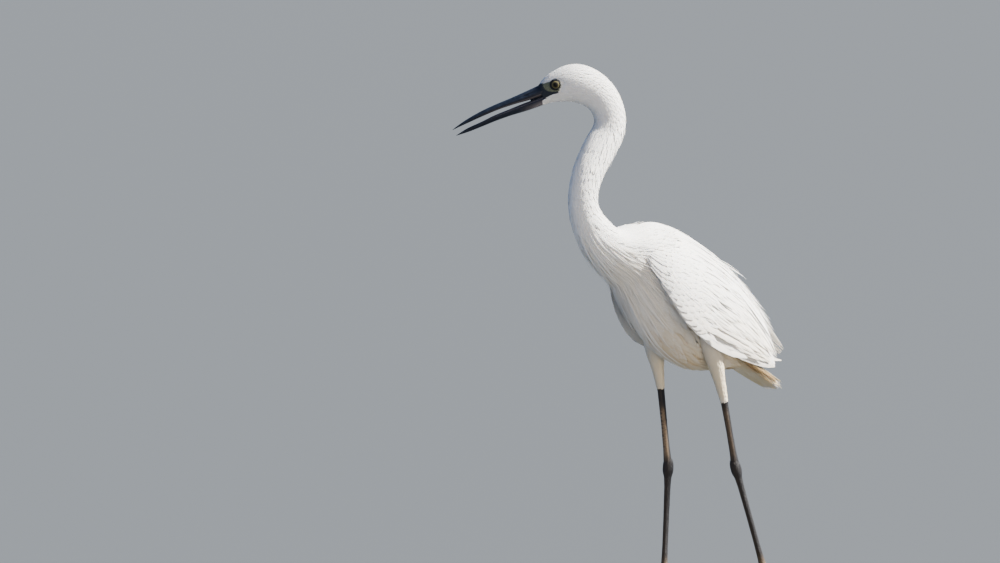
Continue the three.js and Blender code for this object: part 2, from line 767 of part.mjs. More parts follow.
function tailFeathers() {
  const root = vec(TAIL.root);
  const along = vec(TAIL.tip).sub(root);
  const above = new THREE.Vector3(0, -along.z, along.y).normalize();
  const place = (t, beside, height) =>
    root
      .clone()
      .addScaledVector(along, t)
      .addScaledVector(above, height)
      .add(new THREE.Vector3(beside, 0, 0));
  const made = [
    solid(
      ringBody(
        (t, angle) => {
          const shrink = 1 - 0.75 * t * t;
          const c = Math.cos(angle);
          const rise = c > 0 ? TAIL_COVERTS.above : TAIL_COVERTS.below;
          const half = TAIL_COVERTS.half * (1 - 0.3 * t);
          return place(t * TAIL_COVERTS.length, half * Math.sin(angle), rise * c * shrink - 3);
        },
        (t) => place(t * TAIL_COVERTS.length * 1.06, 0, -3),
        18,
        7,
      ),
    ),
  ];
  for (let pair = 0; pair < TAIL.pairs; pair++)
    for (const out of [1, -1]) {
      const share = pair / (TAIL.pairs - 1);
      const reach = 1 - 0.1 * share * share;
      const lift = -TAIL.step * (pair + (out === 1 ? 0 : 0.5)) + 2;
      made.push(
        vane(
          (t, s, height) =>
            place(
              lerp(0.12, reach, t),
              out * (0.5 + share * lerp(5, TAIL.fan, t)) + s * TAIL.half,
              height,
            ),
          () => lift,
        ),
      );
    }
  return wasm.Manifold.union(made);
}
addNode("tail", tailFeathers().subtract(torsoGrown), materials.plumage);

// The part's origin: the middle of its box, at the floor.
const box = new THREE.Box3().setFromObject(bird);
const centre = box.getCenter(new THREE.Vector3());
for (const mesh of bird.children) mesh.geometry.translate(-centre.x, -centre.y, -box.min.z);

export default bird;
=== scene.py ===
"""A little egret, life size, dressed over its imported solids.

Every shape is worked out in millimetres in the frame in which the bird was drawn (it faces -Y, its
left is +X, it stands on Z = 0) and is moved into the row's frame, in metres, as it becomes a mesh.
"""

from __future__ import annotations

import logging
import math
from dataclasses import dataclass, field
from enum import Enum

import bpy
import numpy as np
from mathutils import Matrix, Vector

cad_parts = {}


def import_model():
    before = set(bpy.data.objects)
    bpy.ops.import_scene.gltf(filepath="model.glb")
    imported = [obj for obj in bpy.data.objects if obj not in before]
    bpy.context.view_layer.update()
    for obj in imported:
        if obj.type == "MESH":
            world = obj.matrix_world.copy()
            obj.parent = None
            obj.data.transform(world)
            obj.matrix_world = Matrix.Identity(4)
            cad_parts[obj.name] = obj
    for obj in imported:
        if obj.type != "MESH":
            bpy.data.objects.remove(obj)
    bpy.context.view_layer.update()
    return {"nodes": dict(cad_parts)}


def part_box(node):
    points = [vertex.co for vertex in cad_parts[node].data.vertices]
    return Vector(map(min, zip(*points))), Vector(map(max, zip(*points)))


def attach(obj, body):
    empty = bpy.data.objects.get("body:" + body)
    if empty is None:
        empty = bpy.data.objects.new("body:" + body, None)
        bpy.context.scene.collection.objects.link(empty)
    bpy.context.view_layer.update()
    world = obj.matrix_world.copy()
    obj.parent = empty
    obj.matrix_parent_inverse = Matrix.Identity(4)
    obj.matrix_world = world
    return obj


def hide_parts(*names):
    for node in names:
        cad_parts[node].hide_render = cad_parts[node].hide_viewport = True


log = logging.getLogger("egret")
Array = np.ndarray
TURN = 2 * np.pi
# A turn as the barbs' shader takes it.
BARB_TURN = 6.283

SEED = 20

# Spine stations: x, y, z, then how far the surface stands off to the back, belly and side, the
# turn of the heading to the bird's right in degrees, and how much narrower the belly is.
STATIONS = np.array([
    [0, 84, 197, 7, 9, 9, 0, 0.0],
    [0, 66, 209, 20, 29, 17, 0, 0.1],
    [0, 36, 231, 32, 53, 26, 0, 0.25],
    [0, 0, 255, 37, 60, 32, 0, 0.3],
    [0, -34, 277, 36, 51, 35, 0, 0.3],
    [0, -64, 294, 26, 36, 31, 0, 0.25],
    [0, -88, 303, 15.5, 26, 23, 0, 0.15],
    [0, -108, 316, 16, 18.8, 17, 2, 0.05],
    [0, -120, 334, 14, 14.5, 13.5, 5, 0],
    [1, -122.5, 352, 14, 13.5, 12.3, 9, 0],
    [2.5, -117, 370, 14.5, 15.2, 12.3, 12, 0],
    [4.5, -105.5, 388, 14, 17, 12.3, 15, 0],
    [6, -97, 402, 13.7, 16, 12.2, 20, 0],
    [6, -95, 416, 13.6, 14.6, 12.2, 27, 0],
    [2.5, -99.5, 430, 15, 14.3, 12.6, 35, 0],
    [-4.5, -107.5, 440.5, 16.6, 15.8, 13.2, 40, 0],
    [-14, -118.5, 445, 18, 15.7, 13, 42, 0],
    [-24.5, -130.5, 442, 14.6, 12.8, 10.4, 42, 0],
    [-33, -140.2, 435.7, 9, 8.6, 6.4, 42, 0],
], dtype=float)
LAST_STATION = len(STATIONS) - 1

EYE_STATION = 17
EYE_ABOVE = 3.7
EYE_BESIDE = 6.7
EYE_RADIUS = 5.2

BILL_PITCH = 23.0
BILL_TURN = 42.0
UPPER_BILL = np.array([
    [-1.5, 9.0, -0.6, 6.0], [0.3, 8.9, -0.45, 6.0], [12, 8.5, 0.35, 5.3], [26, 8.2, 2.1, 4.4],
    [40, 8.3, 3.1, 3.6], [54, 7.8, 3.2, 2.8], [68, 6.2, 2.85, 1.8], [79, 3.9, 2.5, 0.9],
    [83.8, 2.5, 2.2, 0.35],
])
LOWER_BILL = np.array([
    [-3.5, -0.75, -8.6, 6.0], [0.3, -0.75, -8.4, 6.0], [9, -0.85, -8.1, 5.5],
    [19, -0.45, -7.3, 4.8], [32, -0.3, -5.9, 4.0], [45, -0.1, -5.1, 3.1], [58, -0.9, -4.9, 2.3],
    [71, -1.3, -4.6, 1.4], [82.6, -3.2, -3.6, 0.35],
])
# How much a mandible narrows away from its open side, and how square its sides are.
MANDIBLE_LEAN = 0.22
MANDIBLE_SQUARE = 0.8

THIGH_RADII = (11, 10.5, 8.5, 5.4, 3.7)
# Bare parts of the legs: rows of the share of the length and the radius. The shank starts above
# the heel with the joint's knob.
SHIN_RADII = ((0, 3.2), (0.2, 3.0), (0.5, 2.75), (0.8, 3.0), (0.92, 3.5), (1, 3.9))
TARSUS_RADII = ((0, 3.3), (0.02, 4.2), (0.05, 4.75), (0.1, 4.85), (0.125, 4.3), (0.155, 3.35),
                (0.24, 2.8), (0.5, 2.5), (0.75, 2.5), (0.9, 2.9), (1, 4.1))
KNOB_ABOVE = 6.5

WING_LOWER = {
    "left": np.array([[29, -70, 292], [37, -50, 262], [39, -30, 238], [38, -6, 220],
                      [34, 26, 205], [24, 64, 193], [9, 100, 185]], dtype=float),
    "right": np.array([[-29, -70, 290], [-37, -51, 256], [-39, -33, 228], [-38, -8, 211],
                       [-33, 30, 204], [-22, 74, 196], [-8, 123, 188]], dtype=float),
}
WING_SHOULDER = np.array([[27, -70, 312], [41, -48, 305], [47, -22, 293], [47, 6, 275],
                          [42, 40, 249], [29, 74, 218], [11, 103, 192]], dtype=float)
WING_UPPER = np.array([[8, -66, 319], [3, -42, 319], [1.5, -12, 310], [1.5, 20, 293],
                       [1.5, 54, 269.5], [1.5, 85, 233.5], [2, 104, 199]], dtype=float)
RIGHT_WING_TIP = (0, 17, 0)

TAIL_ROOT = np.array([0, 56, 201.0])
TAIL_TIP = np.array([0, 109, 169.0])

# The photograph's view: turn and height of the camera, and the point that its middle looks at.
VIEW_TURN = 48.0
VIEW_HEIGHT = 5.0
VIEW_RIGHT = -162.9
VIEW_UP = 265.4
FRAME_WIDTH = 880.0
CAMERA_REACH = 12000.0


class Side(Enum):
    """A side of the bird, by the sign of X."""

    LEFT = 1
    RIGHT = -1

    @property
    def word(self) -> str:
        """The side's name as it ends a node's name."""
        return self.name.lower()


@dataclass(frozen=True)
class Leg:
    """Joints of one leg, in millimetres."""

    hip: tuple[float, float, float]
    tuft: tuple[float, float, float]
    heel: tuple[float, float, float]
    foot: tuple[float, float, float]
    toe_turn: float


@dataclass(frozen=True)
class Toe:
    """One toe: its length, turn outwards from the foot's heading and radius at its root."""

    name: str
    length: float
    turn: float
    radius: float


LEGS = {
    Side.RIGHT: Leg((-22, -22, 236), (-21.5, -9.5, 171), (-20, -2, 102), (-20, -7, 5.2), 4),
    Side.LEFT: Leg((22, 2, 240), (21.2, 27, 160), (19, 42.7, 101.2), (24.3, 72.4, 8), -8),
}
TOES = (
    Toe("middle", 58, 0, 2.8),
    Toe("inner", 45, -33, 2.5),
    Toe("outer", 49, 32, 2.5),
    Toe("hind", 26, 172, 2.6),
)
CLAW_LENGTH = 9.5
SOLE_CUT = 0.5


# Curves and surfaces


def catmull(rows: Array, t: Array) -> Array:
    """Points of a smooth curve through rows, at t from 0 to 1 spread evenly over the rows.

    Args:
        rows: The rows that are followed.
        t: Shares from 0 to 1.

    Returns:
        One point for each share.
    """
    count = len(rows)
    padded = np.vstack([2 * rows[0] - rows[1], rows, 2 * rows[-1] - rows[-2]])
    x = np.clip(np.asarray(t, dtype=float), 0, 1) * (count - 1)
    i = np.minimum(x.astype(int), count - 2)
    w = (x - i)[..., None]
    p0, p1, p2, p3 = padded[i], padded[i + 1], padded[i + 2], padded[i + 3]
    m1, m2 = 0.5 * (p2 - p0), 0.5 * (p3 - p1)
    w2, w3 = w * w, w * w * w
    return (2 * w3 - 3 * w2 + 1) * p1 + (w3 - 2 * w2 + w) * m1 + (3 * w2 - 2 * w3) * p2 + (w3 - w2) * m2


def unit(v: Array) -> Array:
    """The vectors of v at length 1."""
    return v / np.maximum(np.linalg.norm(v, axis=-1, keepdims=True), 1e-9)


def smooth(x: Array, low: float, high: float) -> Array:
    """A smooth step from 0 at low to 1 at high."""
    t = np.clip((np.asarray(x, dtype=float) - low) / (high - low), 0, 1)
    return t * t * (3 - 2 * t)


class Surface:
    """A surface with two coordinates and a height off it."""

    def point(self, u: Array, v: Array, h: Array | float = 0.0) -> Array:
        """Points of the surface.

        Args:
            u: First coordinate.
            v: Second coordinate.
            h: Height off the surface, in millimetres.

        Returns:
            The points, in the shape of the coordinates.
        """
        raise NotImplementedError

    def normal(self, u: Array, v: Array) -> Array:
        """The outward direction at u and v."""
        return unit(self.point(u, v, 1.0) - self.point(u, v, 0.0))


class Body(Surface):
    """The flesh from the rump to the face: u is the station, v the angle from the back to the left."""

    def frame(self, u: Array) -> tuple[Array, Array, Array, Array]:
        """Spine point, left, back and ahead at station u.

        Args:
            u: The first coordinate, or station.

        Returns:
            The point, and the directions left, back and ahead.
        """
        t = np.asarray(u, dtype=float) / LAST_STATION
        e = 1e-3
        spine = STATIONS[:, :3]
        ahead = unit(catmull(spine, t + e) - catmull(spine, np.maximum(t - e, 0)))
        turn = np.radians(catmull(STATIONS[:, 6:8], t)[..., 0])
        left = np.stack([np.cos(turn), -np.sin(turn), np.zeros_like(turn)], axis=-1)
        left = unit(left - ahead * np.sum(left * ahead, axis=-1, keepdims=True))
        return catmull(spine, t), left, np.cross(ahead, left), ahead

    def point(self, u: Array, v: Array, h: Array | float = 0.0) -> Array:
        """Points of the surface, as in Surface.point."""
        u, v, h = np.broadcast_arrays(u, v, h)
        at, left, back, _ = self.frame(u)
        t = u / LAST_STATION
        girth = catmull(STATIONS[:, 3:6], t)
        keel = catmull(STATIONS[:, 6:8], t)[..., 1]
        c = np.cos(v)
        rise = np.where(c > 0, girth[..., 0], girth[..., 1])
        narrow = 1 - keel * (1 - c) / 2
        up = ((rise + h) * c)[..., None]
        out = ((girth[..., 2] * narrow + h) * np.sin(v))[..., None]
        return at + back * up + left * out

    def reach(self, u: Array, v: Array) -> Array:
        """Millimetres of surface for each station at u and v."""
        e = 0.02
        return np.linalg.norm(self.point(u + e, v) - self.point(u - e, v), axis=-1) / (2 * e)


class Limb(Surface):
    """A round limb: u runs from its start to its end, v is the angle round it."""

    def __init__(self, points: list, radii: tuple) -> None:
        """Takes points along it and radii, or rows of share and radius."""
        self.points = np.array(points, dtype=float)
        shares = np.linspace(0, 1, len(radii)) if np.ndim(radii) == 1 else np.array(radii)[:, 0]
        values = np.array(radii) if np.ndim(radii) == 1 else np.array(radii)[:, 1]
        fine = np.interp(np.linspace(-0.05, 1.05, 441), shares, values)
        self.radii = np.convolve(fine, np.hanning(13) / np.hanning(13).sum(), "same")[20:-20]

    def radius(self, u: Array) -> Array:
        """The radius at u."""
        return np.interp(u, np.linspace(0, 1, len(self.radii)), self.radii)

    def point(self, u: Array, v: Array, h: Array | float = 0.0) -> Array:
        """Points of the surface, as in Surface.point."""
        u, v, h = np.broadcast_arrays(u, v, h)
        e = 1e-3
        low, high = np.maximum(u - e, 0), np.minimum(u + e, 1)
        ahead = unit(catmull(self.points, high) - catmull(self.points, low))
        side = np.array([1.0, 0, 0]) - ahead * ahead[..., :1]
        side = unit(side)
        front = np.cross(ahead, side)
        r = self.radius(u) + h
        beside, ahead_of = (r * np.cos(v))[..., None], (r * np.sin(v))[..., None]
        return catmull(self.points, u) + side * beside + front * ahead_of


class Wing(Surface):
    """A folded wing: u runs from its bend to its tip, v from its lower edge to the back."""

    def __init__(self, side: Side) -> None:
        """Takes the side that it is on."""
        self.out = side.value
        share = (np.arange(7) / 6) ** 12
        tip = np.array(RIGHT_WING_TIP if side is Side.RIGHT else (0, 0, 0), dtype=float)
        flip = np.array([self.out, 1, 1])
        self.lower = WING_LOWER[side.word]
        self.shoulder = WING_SHOULDER * flip + share[:, None] * tip
        self.upper = WING_UPPER * flip + share[:, None] * tip

    def sheet(self, u: Array, v: Array) -> Array:
        """Points on the wing's own surface.

        Args:
            u: The first coordinate, or station.
            v: The second coordinate.

        Returns:
            The points.
        """
        v = v[..., None]
        return (catmull(self.lower, u) * (1 - v) ** 2 + catmull(self.shoulder, u) * 2 * v * (1 - v)
                + catmull(self.upper, u) * v ** 2)

    def point(self, u: Array, v: Array, h: Array | float = 0.0) -> Array:
        """Points of the surface, as in Surface.point."""
        u, v, h = np.broadcast_arrays(u, v, h)
        e = 1e-3
        inside = np.clip(u, e, 1 - e)
        du = self.sheet(inside + e, v) - self.sheet(inside - e, v)
        dv = self.sheet(inside, v + e) - self.sheet(inside, v - e)
        normal = unit(np.cross(du, dv)) * self.out
        return self.sheet(u, v) + normal * h[..., None]


class Tail(Surface):
    """The closed tail: u runs from its root to its tip, v is millimetres across it."""

    def point(self, u: Array, v: Array, h: Array | float = 0.0) -> Array:
        """Points of the surface, as in Surface.point."""
        u, v, h = np.broadcast_arrays(u, v, h)
        along = TAIL_TIP - TAIL_ROOT
        above = unit(np.array([0, -along[2], along[1]]))
        beside = np.array([1.0, 0, 0])
        arch = -0.02 * v ** 2
        return TAIL_ROOT + along * u[..., None] + beside * v[..., None] + above * (h + arch)[..., None]


BODY = Body()


def heading(turn: float) -> Array:
    """The level direction that faces turn degrees to the bird's right."""
    return np.array([-math.sin(math.radians(turn)), -math.cos(math.radians(turn)), 0.0])


def bill_axes() -> tuple[Array, Array, Array, Array]:
    """The bill's root, and its directions ahead, above and left.

    Returns:
        The root and three directions.
    """
    pitch = math.radians(BILL_PITCH)
    ahead = heading(BILL_TURN) * math.cos(pitch) - np.array([0, 0, math.sin(pitch)])
    turn = math.radians(BILL_TURN)
    left = np.array([math.cos(turn), -math.sin(turn), 0.0])
    return STATIONS[-1, :3].copy(), ahead, np.cross(ahead, left), left


def eye_centre(side: Side) -> Array:
    """The middle of an eye."""
    at, left, back, _ = BODY.frame(np.array(float(EYE_STATION)))
    return at + back * EYE_ABOVE + left * EYE_BESIDE * side.value


# Meshes


@dataclass
class Shell:
    """A mesh in the making: points in millimetres, faces, and values for each point."""

    points: list = field(default_factory=list)
    faces: list = field(default_factory=list)
    values: dict = field(default_factory=dict)
    count: int = 0

    def add(self, points: Array, faces: Array, **values: Array) -> None:
        """Adds points, faces that index them, and values for each point.

        Args:
            points: Points, in millimetres.
            faces: Faces that index the points.
            values: Values for each point, by the attribute's or the map's name.
        """
        self.points.append(points)
        self.faces.append(faces + self.count)
        for name, value in values.items():
            self.values.setdefault(name, []).append(value)
        self.count += len(points)

    def make(self, name: str, material: bpy.types.Material, shift: Array) -> bpy.types.Object:
        """The shell as a Blender object in the row's frame.

        Args:
            name: The piece's name.
            material: Its material.
            shift: What is taken from every point, in millimetres.

        Returns:
            The new object, linked to the scene and riding on the root body.
        """
        points = (np.concatenate(self.points) - shift) / 1000
        quads = np.concatenate(self.faces)
        mesh = bpy.data.meshes.new(name)
        mesh.vertices.add(len(points))
        mesh.vertices.foreach_set("co", points.astype(np.float32).ravel())
        mesh.loops.add(quads.size)
        mesh.loops.foreach_set("vertex_index", quads.astype(np.int32).ravel())
        mesh.polygons.add(len(quads))
        mesh.polygons.foreach_set("loop_start", np.arange(len(quads), dtype=np.int32) * 4)
        mesh.update(calc_edges=True)
        for key, parts in self.values.items():
            value = np.concatenate(parts).astype(np.float32)
            if value.ndim == 2:
                layer = mesh.uv_layers.new(name=key)
                layer.data.foreach_set("uv", value[quads.ravel()].ravel())
            else:
                layer = mesh.attributes.new(key, "FLOAT", "POINT")
                layer.data.foreach_set("value", value)
        mesh.validate()
        mesh.polygons.foreach_set("use_smooth", np.ones(len(mesh.polygons), dtype=bool))
        if "vane" in self.values:
            ends = np.empty(len(mesh.edges) * 2, dtype=np.int32)
            mesh.edges.foreach_get("vertices", ends)
            ends = ends.reshape(-1, 2)
            along = np.concatenate(self.values["vane"])[:, 1][ends]
            rim = (ends[:, 0] % 2 == 0) & (np.abs(ends[:, 0] - ends[:, 1]) == 4)
            tips = (along[:, 0] == along[:, 1]) & ((along[:, 0] == 0) | (along[:, 0] == 1))
            mesh.edges.foreach_set("use_edge_sharp", rim | tips)
        mesh.materials.append(material)
        made = bpy.data.objects.new(name, mesh)
        bpy.context.scene.collection.objects.link(made)
        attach(made, "root")
        return made


def outward(points: Array, quads: Array) -> Array:
    """The quads of a closed mesh, turned so that they face out.

    Args:
        points: Points, in millimetres.
        quads: Faces that index the points.

    Returns:
        The quads, facing out.
    """
    a, b, c, d = (points[quads[:, k]] for k in range(4))
    volume = np.sum(np.cross(a, b) * c) + np.sum(np.cross(a, c) * d)
    return quads if volume > 0 else quads[:, ::-1]


def closed(grid: Array) -> tuple[Array, Array]:
    """Points and quads of rings of points (rows, sides, 3), with both end rings closed.

    Args:
        grid: Rings of points, as (rows, sides, 3).

    Returns:
        Points and quads.
    """
    rows, sides = grid.shape[:2]
    i, j = np.meshgrid(np.arange(rows - 1), np.arange(sides), indexing="ij")
    a, b = i * sides + j, i * sides + (j + 1) % sides
    tube = np.stack([a, b, b + sides, a + sides], axis=-1).reshape(-1, 4)
    k = np.arange(1, sides - 2, 2)
    cap = np.stack([np.zeros_like(k), k + 2, k + 1, k], axis=-1)
    points = grid.reshape(-1, 3)
    quads = np.concatenate([tube, cap, cap[:, ::-1] + (rows - 1) * sides])
    return points, outward(points, quads)


def drawn(grid: Array) -> Array:
    """Rings of points with one more at each end, drawn in to nearly a point."""
    ends = [ring.mean(axis=1, keepdims=True) * 0.97 + ring * 0.03 for ring in (grid[:1], grid[-1:])]
    return np.concatenate([ends[0], grid, ends[1]])


def loft(surface: Surface, us: Array, sides: int, h: Array | float = 0.0) -> tuple[Array, Array]:
    """A closed loft of a surface whose v is an angle, as points and quads."""
    v = np.arange(sides) / sides * 2 * np.pi
    return closed(drawn(surface.point(us[:, None], v[None, :], h)))


def slab(surface: Surface, us: Array, vs: Array, top: Array, bottom: Array) -> tuple[Array, Array]:
    """A closed sheet of a surface between two heights, which are given for each u and v.

    Args:
        surface: The surface.
        us: First coordinates.
        vs: Second coordinates.
        top: Upper height at each u and v.
        bottom: Lower height at each u and v.

    Returns:
        Points and quads.
    """
    u, v = np.meshgrid(us, vs, indexing="ij")
    upper, under = surface.point(u, v, top), surface.point(u, v, bottom)
    rows, cols = u.shape
    points = np.concatenate([upper.reshape(-1, 3), under.reshape(-1, 3)])
    i, j = np.meshgrid(np.arange(rows - 1), np.arange(cols - 1), indexing="ij")
    a = (i * cols + j).ravel()
    face = np.stack([a, a + cols, a + cols + 1, a + 1], axis=-1)
    n = rows * cols
    rim = np.concatenate([
        np.arange(rows - 1) * cols, (rows - 1) * cols + np.arange(cols - 1),
        (np.arange(rows - 1, 0, -1) + 1) * cols - 1, np.arange(cols - 1, 0, -1),
    ])
    nxt = np.roll(rim, -1)
    edge = np.stack([rim, rim + n, nxt + n, nxt], axis=-1)
    quads = np.concatenate([face, face[:, ::-1] + n, edge])
    return points, outward(points, quads)


@dataclass(frozen=True)
class Cut:
    """The outline and body of a feather.

    Attributes:
        steps: How many stations it has along it.
        outline: Rows of how far along, and half width as a share of the widest.
        thick: Its thickness at the shaft, in millimetres.
        camber: How far its edges drop, as a share of the half width.
    """

    steps: int = 5
    outline: tuple = ((0, 0.45), (0.3, 1), (0.7, 0.95), (0.92, 0.5), (1, 0.08))
    thick: float = 0.3
    camber: float = 0.1


CONTOUR = Cut()
TUFT = Cut(steps=4, outline=((0, 0.4), (0.35, 1), (0.75, 0.8), (1, 0.1)), thick=0.14, camber=0.06)
LANCE = Cut(steps=9, outline=((0, 0.35), (0.15, 0.8), (0.4, 1), (0.7, 0.7), (1, 0.05)), thick=0.35,
            camber=0.15)
QUILL = Cut(steps=11, outline=((0, 0.45), (0.15, 0.85), (0.5, 1), (0.8, 0.93), (0.93, 0.66),
                               (1, 0.12)), thick=0.34, camber=0.06)
COVERT = Cut(steps=7, outline=((0, 0.5), (0.3, 0.95), (0.65, 1), (0.88, 0.72), (1, 0.12)), thick=0.3,
             camber=0.06)


def feathers(shell: Shell, surface: Surface, start: Array, end: Array, half: Array, low: Array,
             high: Array, cut: Cut, base: Array, tone: Array, warm: Array, tilt: Array | float = 0.0,
             bend: float = 1.6, sway: Array | float = 0.0) -> None:
    """Adds feathers that lie along a surface, each a thin closed vane.

    Args:
        shell: Where they are added.
        surface: What they lie on.
        start: Root of each, in the surface's coordinates.
        end: Tip of each.
        half: Widest half width of each, in millimetres.
        low: Height of each root.
        high: Height of each tip.
        cut: Their outline.
        base: Place of each root on the unwrapped skin, from 0 to 1.
        tone: A shade for each, from 0 to 1.
        warm: How buff each is, from 0 to 1, as real stain and painted warm shade.
        tilt: How far its edge nearest v = 0 is raised, in millimetres.
        bend: Above 1 the feather lies low and lifts at its tip.
        sway: Sideways bow of each, in millimetres.
    """
    count = len(start)
    if not count:
        return
    t = np.linspace(0, 1, cut.steps) ** 0.9
    rows = np.array(cut.outline)
    width = np.interp(t, rows[:, 0], rows[:, 1])
    uv = start[:, None] + (end - start)[:, None] * t[None, :, None]
    u, v = uv[..., 0], uv[..., 1]
    centre = surface.point(u, v, 0.0)
    normal = surface.normal(u, v)
    along = unit(np.gradient(centre, axis=1))
    across = unit(np.cross(normal, along))
    normal = np.cross(along, across)
    height = low[:, None] + (high - low)[:, None] * t[None] ** bend
    bow = np.broadcast_to(sway, count)[:, None] * np.sin(t * np.pi * 0.8)[None]
    centre = centre + normal * height[..., None] + across * bow[..., None]
    w = (half[:, None] * width[None])[..., None]
    lean = np.broadcast_to(tilt, count)[:, None, None] * width[None, :, None]
    thick = (cut.thick / 2 * np.clip(width * 1.6, 0.25, 1))[None, :, None]
    left = centre + across * w - normal * (cut.camber * w - lean)
    right = centre - across * w - normal * (cut.camber * w + lean)
    ring = np.stack([left, centre + normal * thick, right, centre - normal * thick], axis=2)
    points = ring.reshape(-1, 3)
    steps = cut.steps
    first = (np.arange(count) * steps * 4)[:, None, None]
    i, j = np.meshgrid(np.arange(steps - 1), np.arange(4), indexing="ij")
    a, b = i * 4 + j, i * 4 + (j + 1) % 4
    tube = np.stack([a, b, b + 4, a + 4], axis=-1).reshape(1, -1, 4)
    caps = np.array([[[3, 2, 1, 0], [steps * 4 - 4, steps * 4 - 3, steps * 4 - 2, steps * 4 - 1]]])
    faces = (np.concatenate([tube, caps], axis=1) + first).reshape(-1, 4)
    side = np.array([0.0, 0.5, 1.0, 0.5])
    vane = np.stack(np.broadcast_arrays(side[None, None, :], t[None, :, None]), axis=-1)
    vane = np.broadcast_to(vane, (count, steps, 4, 2)).reshape(-1, 2)
    place = base[:, None, None] + (vane.reshape(count, steps, 4, 2) - 0.5) * 0.003
    each = np.ones((1, steps * 4))
    shell.add(points, faces, OFBake=np.clip(place, 0.001, 0.999).reshape(-1, 2), vane=vane,
              tone=(tone[:, None] * each).ravel(), warm=(warm[:, None] * each).ravel())


# Materials


@dataclass(frozen=True)
class Finish:
    """A surface finish: colours from 0 to 1 and the shader's own numbers."""

    name: str
    colour: tuple[float, float, float]
    second: tuple[float, float, float]
    roughness: float
    coat: float = 0.0
    specular: float = 0.5
    sheen: float = 0.0
    subsurface: float = 0.0


# The plumage's and the skin's second colour is a buff, part real stain and part painted warm shade.
PLUMAGE = Finish("plumage", (0.88, 0.875, 0.86), (0.74, 0.585, 0.345), 0.8, sheen=0.15, subsurface=0.15)
SKIN = Finish("skin", (0.84, 0.83, 0.81), (0.72, 0.57, 0.35), 0.8)
BILL = Finish("bill", (0.0035, 0.006, 0.013), (0.15, 0.13, 0.135), 0.42, coat=0.03, specular=0.22)
# The leg's second colour is a tan: the plates' own tint, and a painted highlight on the legs' rears.
LEG = Finish("leg", (0.011, 0.011, 0.014), (0.26, 0.18, 0.11), 0.55, specular=0.25)
TOE = Finish("toe", (0.30, 0.29, 0.05), (0.44, 0.42, 0.10), 0.5, coat=0.1)
CLAW = Finish("claw", (0.02, 0.017, 0.014), (0.09, 0.07, 0.05), 0.35, coat=0.3)
EYE = Finish("eye", (0.12, 0.108, 0.045), (0.18, 0.158, 0.07), 0.45, specular=0.1)
LID = Finish("lid", (0.005, 0.006, 0.009), (0.05, 0.05, 0.05), 0.6, specular=0.2)
LORE_COLOURS = ((0.06, 0.075, 0.05), (0.17, 0.18, 0.115))
GAPE_COLOUR = (0.007, 0.011, 0.020)
PLATE_PALE = 0.25
SEAM_COLOUR = (0.01, 0.01, 0.01)
PUPIL_COLOUR = (0.004, 0.004, 0.005)
# Brightness of the eye by the distance from its axis, as a share of 5 mm.
IRIS_RINGS = ((0.0, 0.0), (0.33, 0.0), (0.37, 0.16), (0.52, 0.3), (0.6, 0.95), (0.64, 0.8), (0.69, 0.0))


class Tree:
    """A node tree that nodes are added to."""

    def __init__(self, tree: bpy.types.NodeTree) -> None:
        """Takes the tree."""
        self.tree = tree

    def feed(self, socket: bpy.types.NodeSocket, value: object) -> None:
        """Links another socket to a socket, or sets its value; a colour is three numbers.

        Args:
            socket: The socket.
            value: A value or a socket.
        """
        if isinstance(value, bpy.types.NodeSocket):
            self.tree.links.new(value, socket)
        else:
            socket.default_value = (*value, 1) if socket.type == "RGBA" else value

    def add(self, kind: str, inputs: dict | None = None, **settings: object) -> bpy.types.Node:
        """Adds a node.

        Args:
            kind: Its type.
            inputs: A value or a socket for each input that is set.
            settings: Its own settings.

        Returns:
            The node.
        """
        node = self.tree.nodes.new(kind)
        for key, value in settings.items():
            setattr(node, key, value)
        for key, value in (inputs or {}).items():
            self.feed(node.inputs[key], value)
        return node

    def sockets(self, kind: str, **values: object) -> None:
        """Adds group inputs of a kind; an underscore in a name stands for a space.

        Args:
            kind: Their socket type.
            values: Each input's name and its value at first, or None for no value.
        """
        for key, value in values.items():
            made = self.tree.interface.new_socket(name=key.replace("_", " "), in_out="INPUT",
                                                  socket_type=kind)
            if value is not None:
                made.default_value = value

    def ends(self, name: str, kind: str) -> tuple[bpy.types.bpy_prop_collection, bpy.types.NodeSocket]:
        """Adds the group's one output.

        Args:
            name: The output's name.
            kind: Its socket type.

        Returns:
            The outputs of the group's input node, and the socket that the result goes to.
        """
        self.tree.interface.new_socket(name=name, in_out="OUTPUT", socket_type=kind)
        return self.add("NodeGroupInput").outputs, self.add("NodeGroupOutput").inputs[name]

    def attribute(self, name: str) -> bpy.types.NodeSocket:
        """A mesh attribute's value."""
        return self.add("ShaderNodeAttribute", attribute_name=name).outputs["Fac"]

    def math(self, kind: str, a: object, b: object) -> bpy.types.NodeSocket:
        """The result of one operation on two numbers."""
        return self.add("ShaderNodeMath", {0: a, 1: b}, operation=kind).outputs[0]

    def mix(self, factor: object, a: object, b: object, blend: str = "MIX") -> bpy.types.NodeSocket:
        """A colour mix of a and b, each a colour or a socket."""
        node = self.add("ShaderNodeMix", {0: factor, 6: a, 7: b}, data_type="RGBA", blend_type=blend)
        return node.outputs[2]


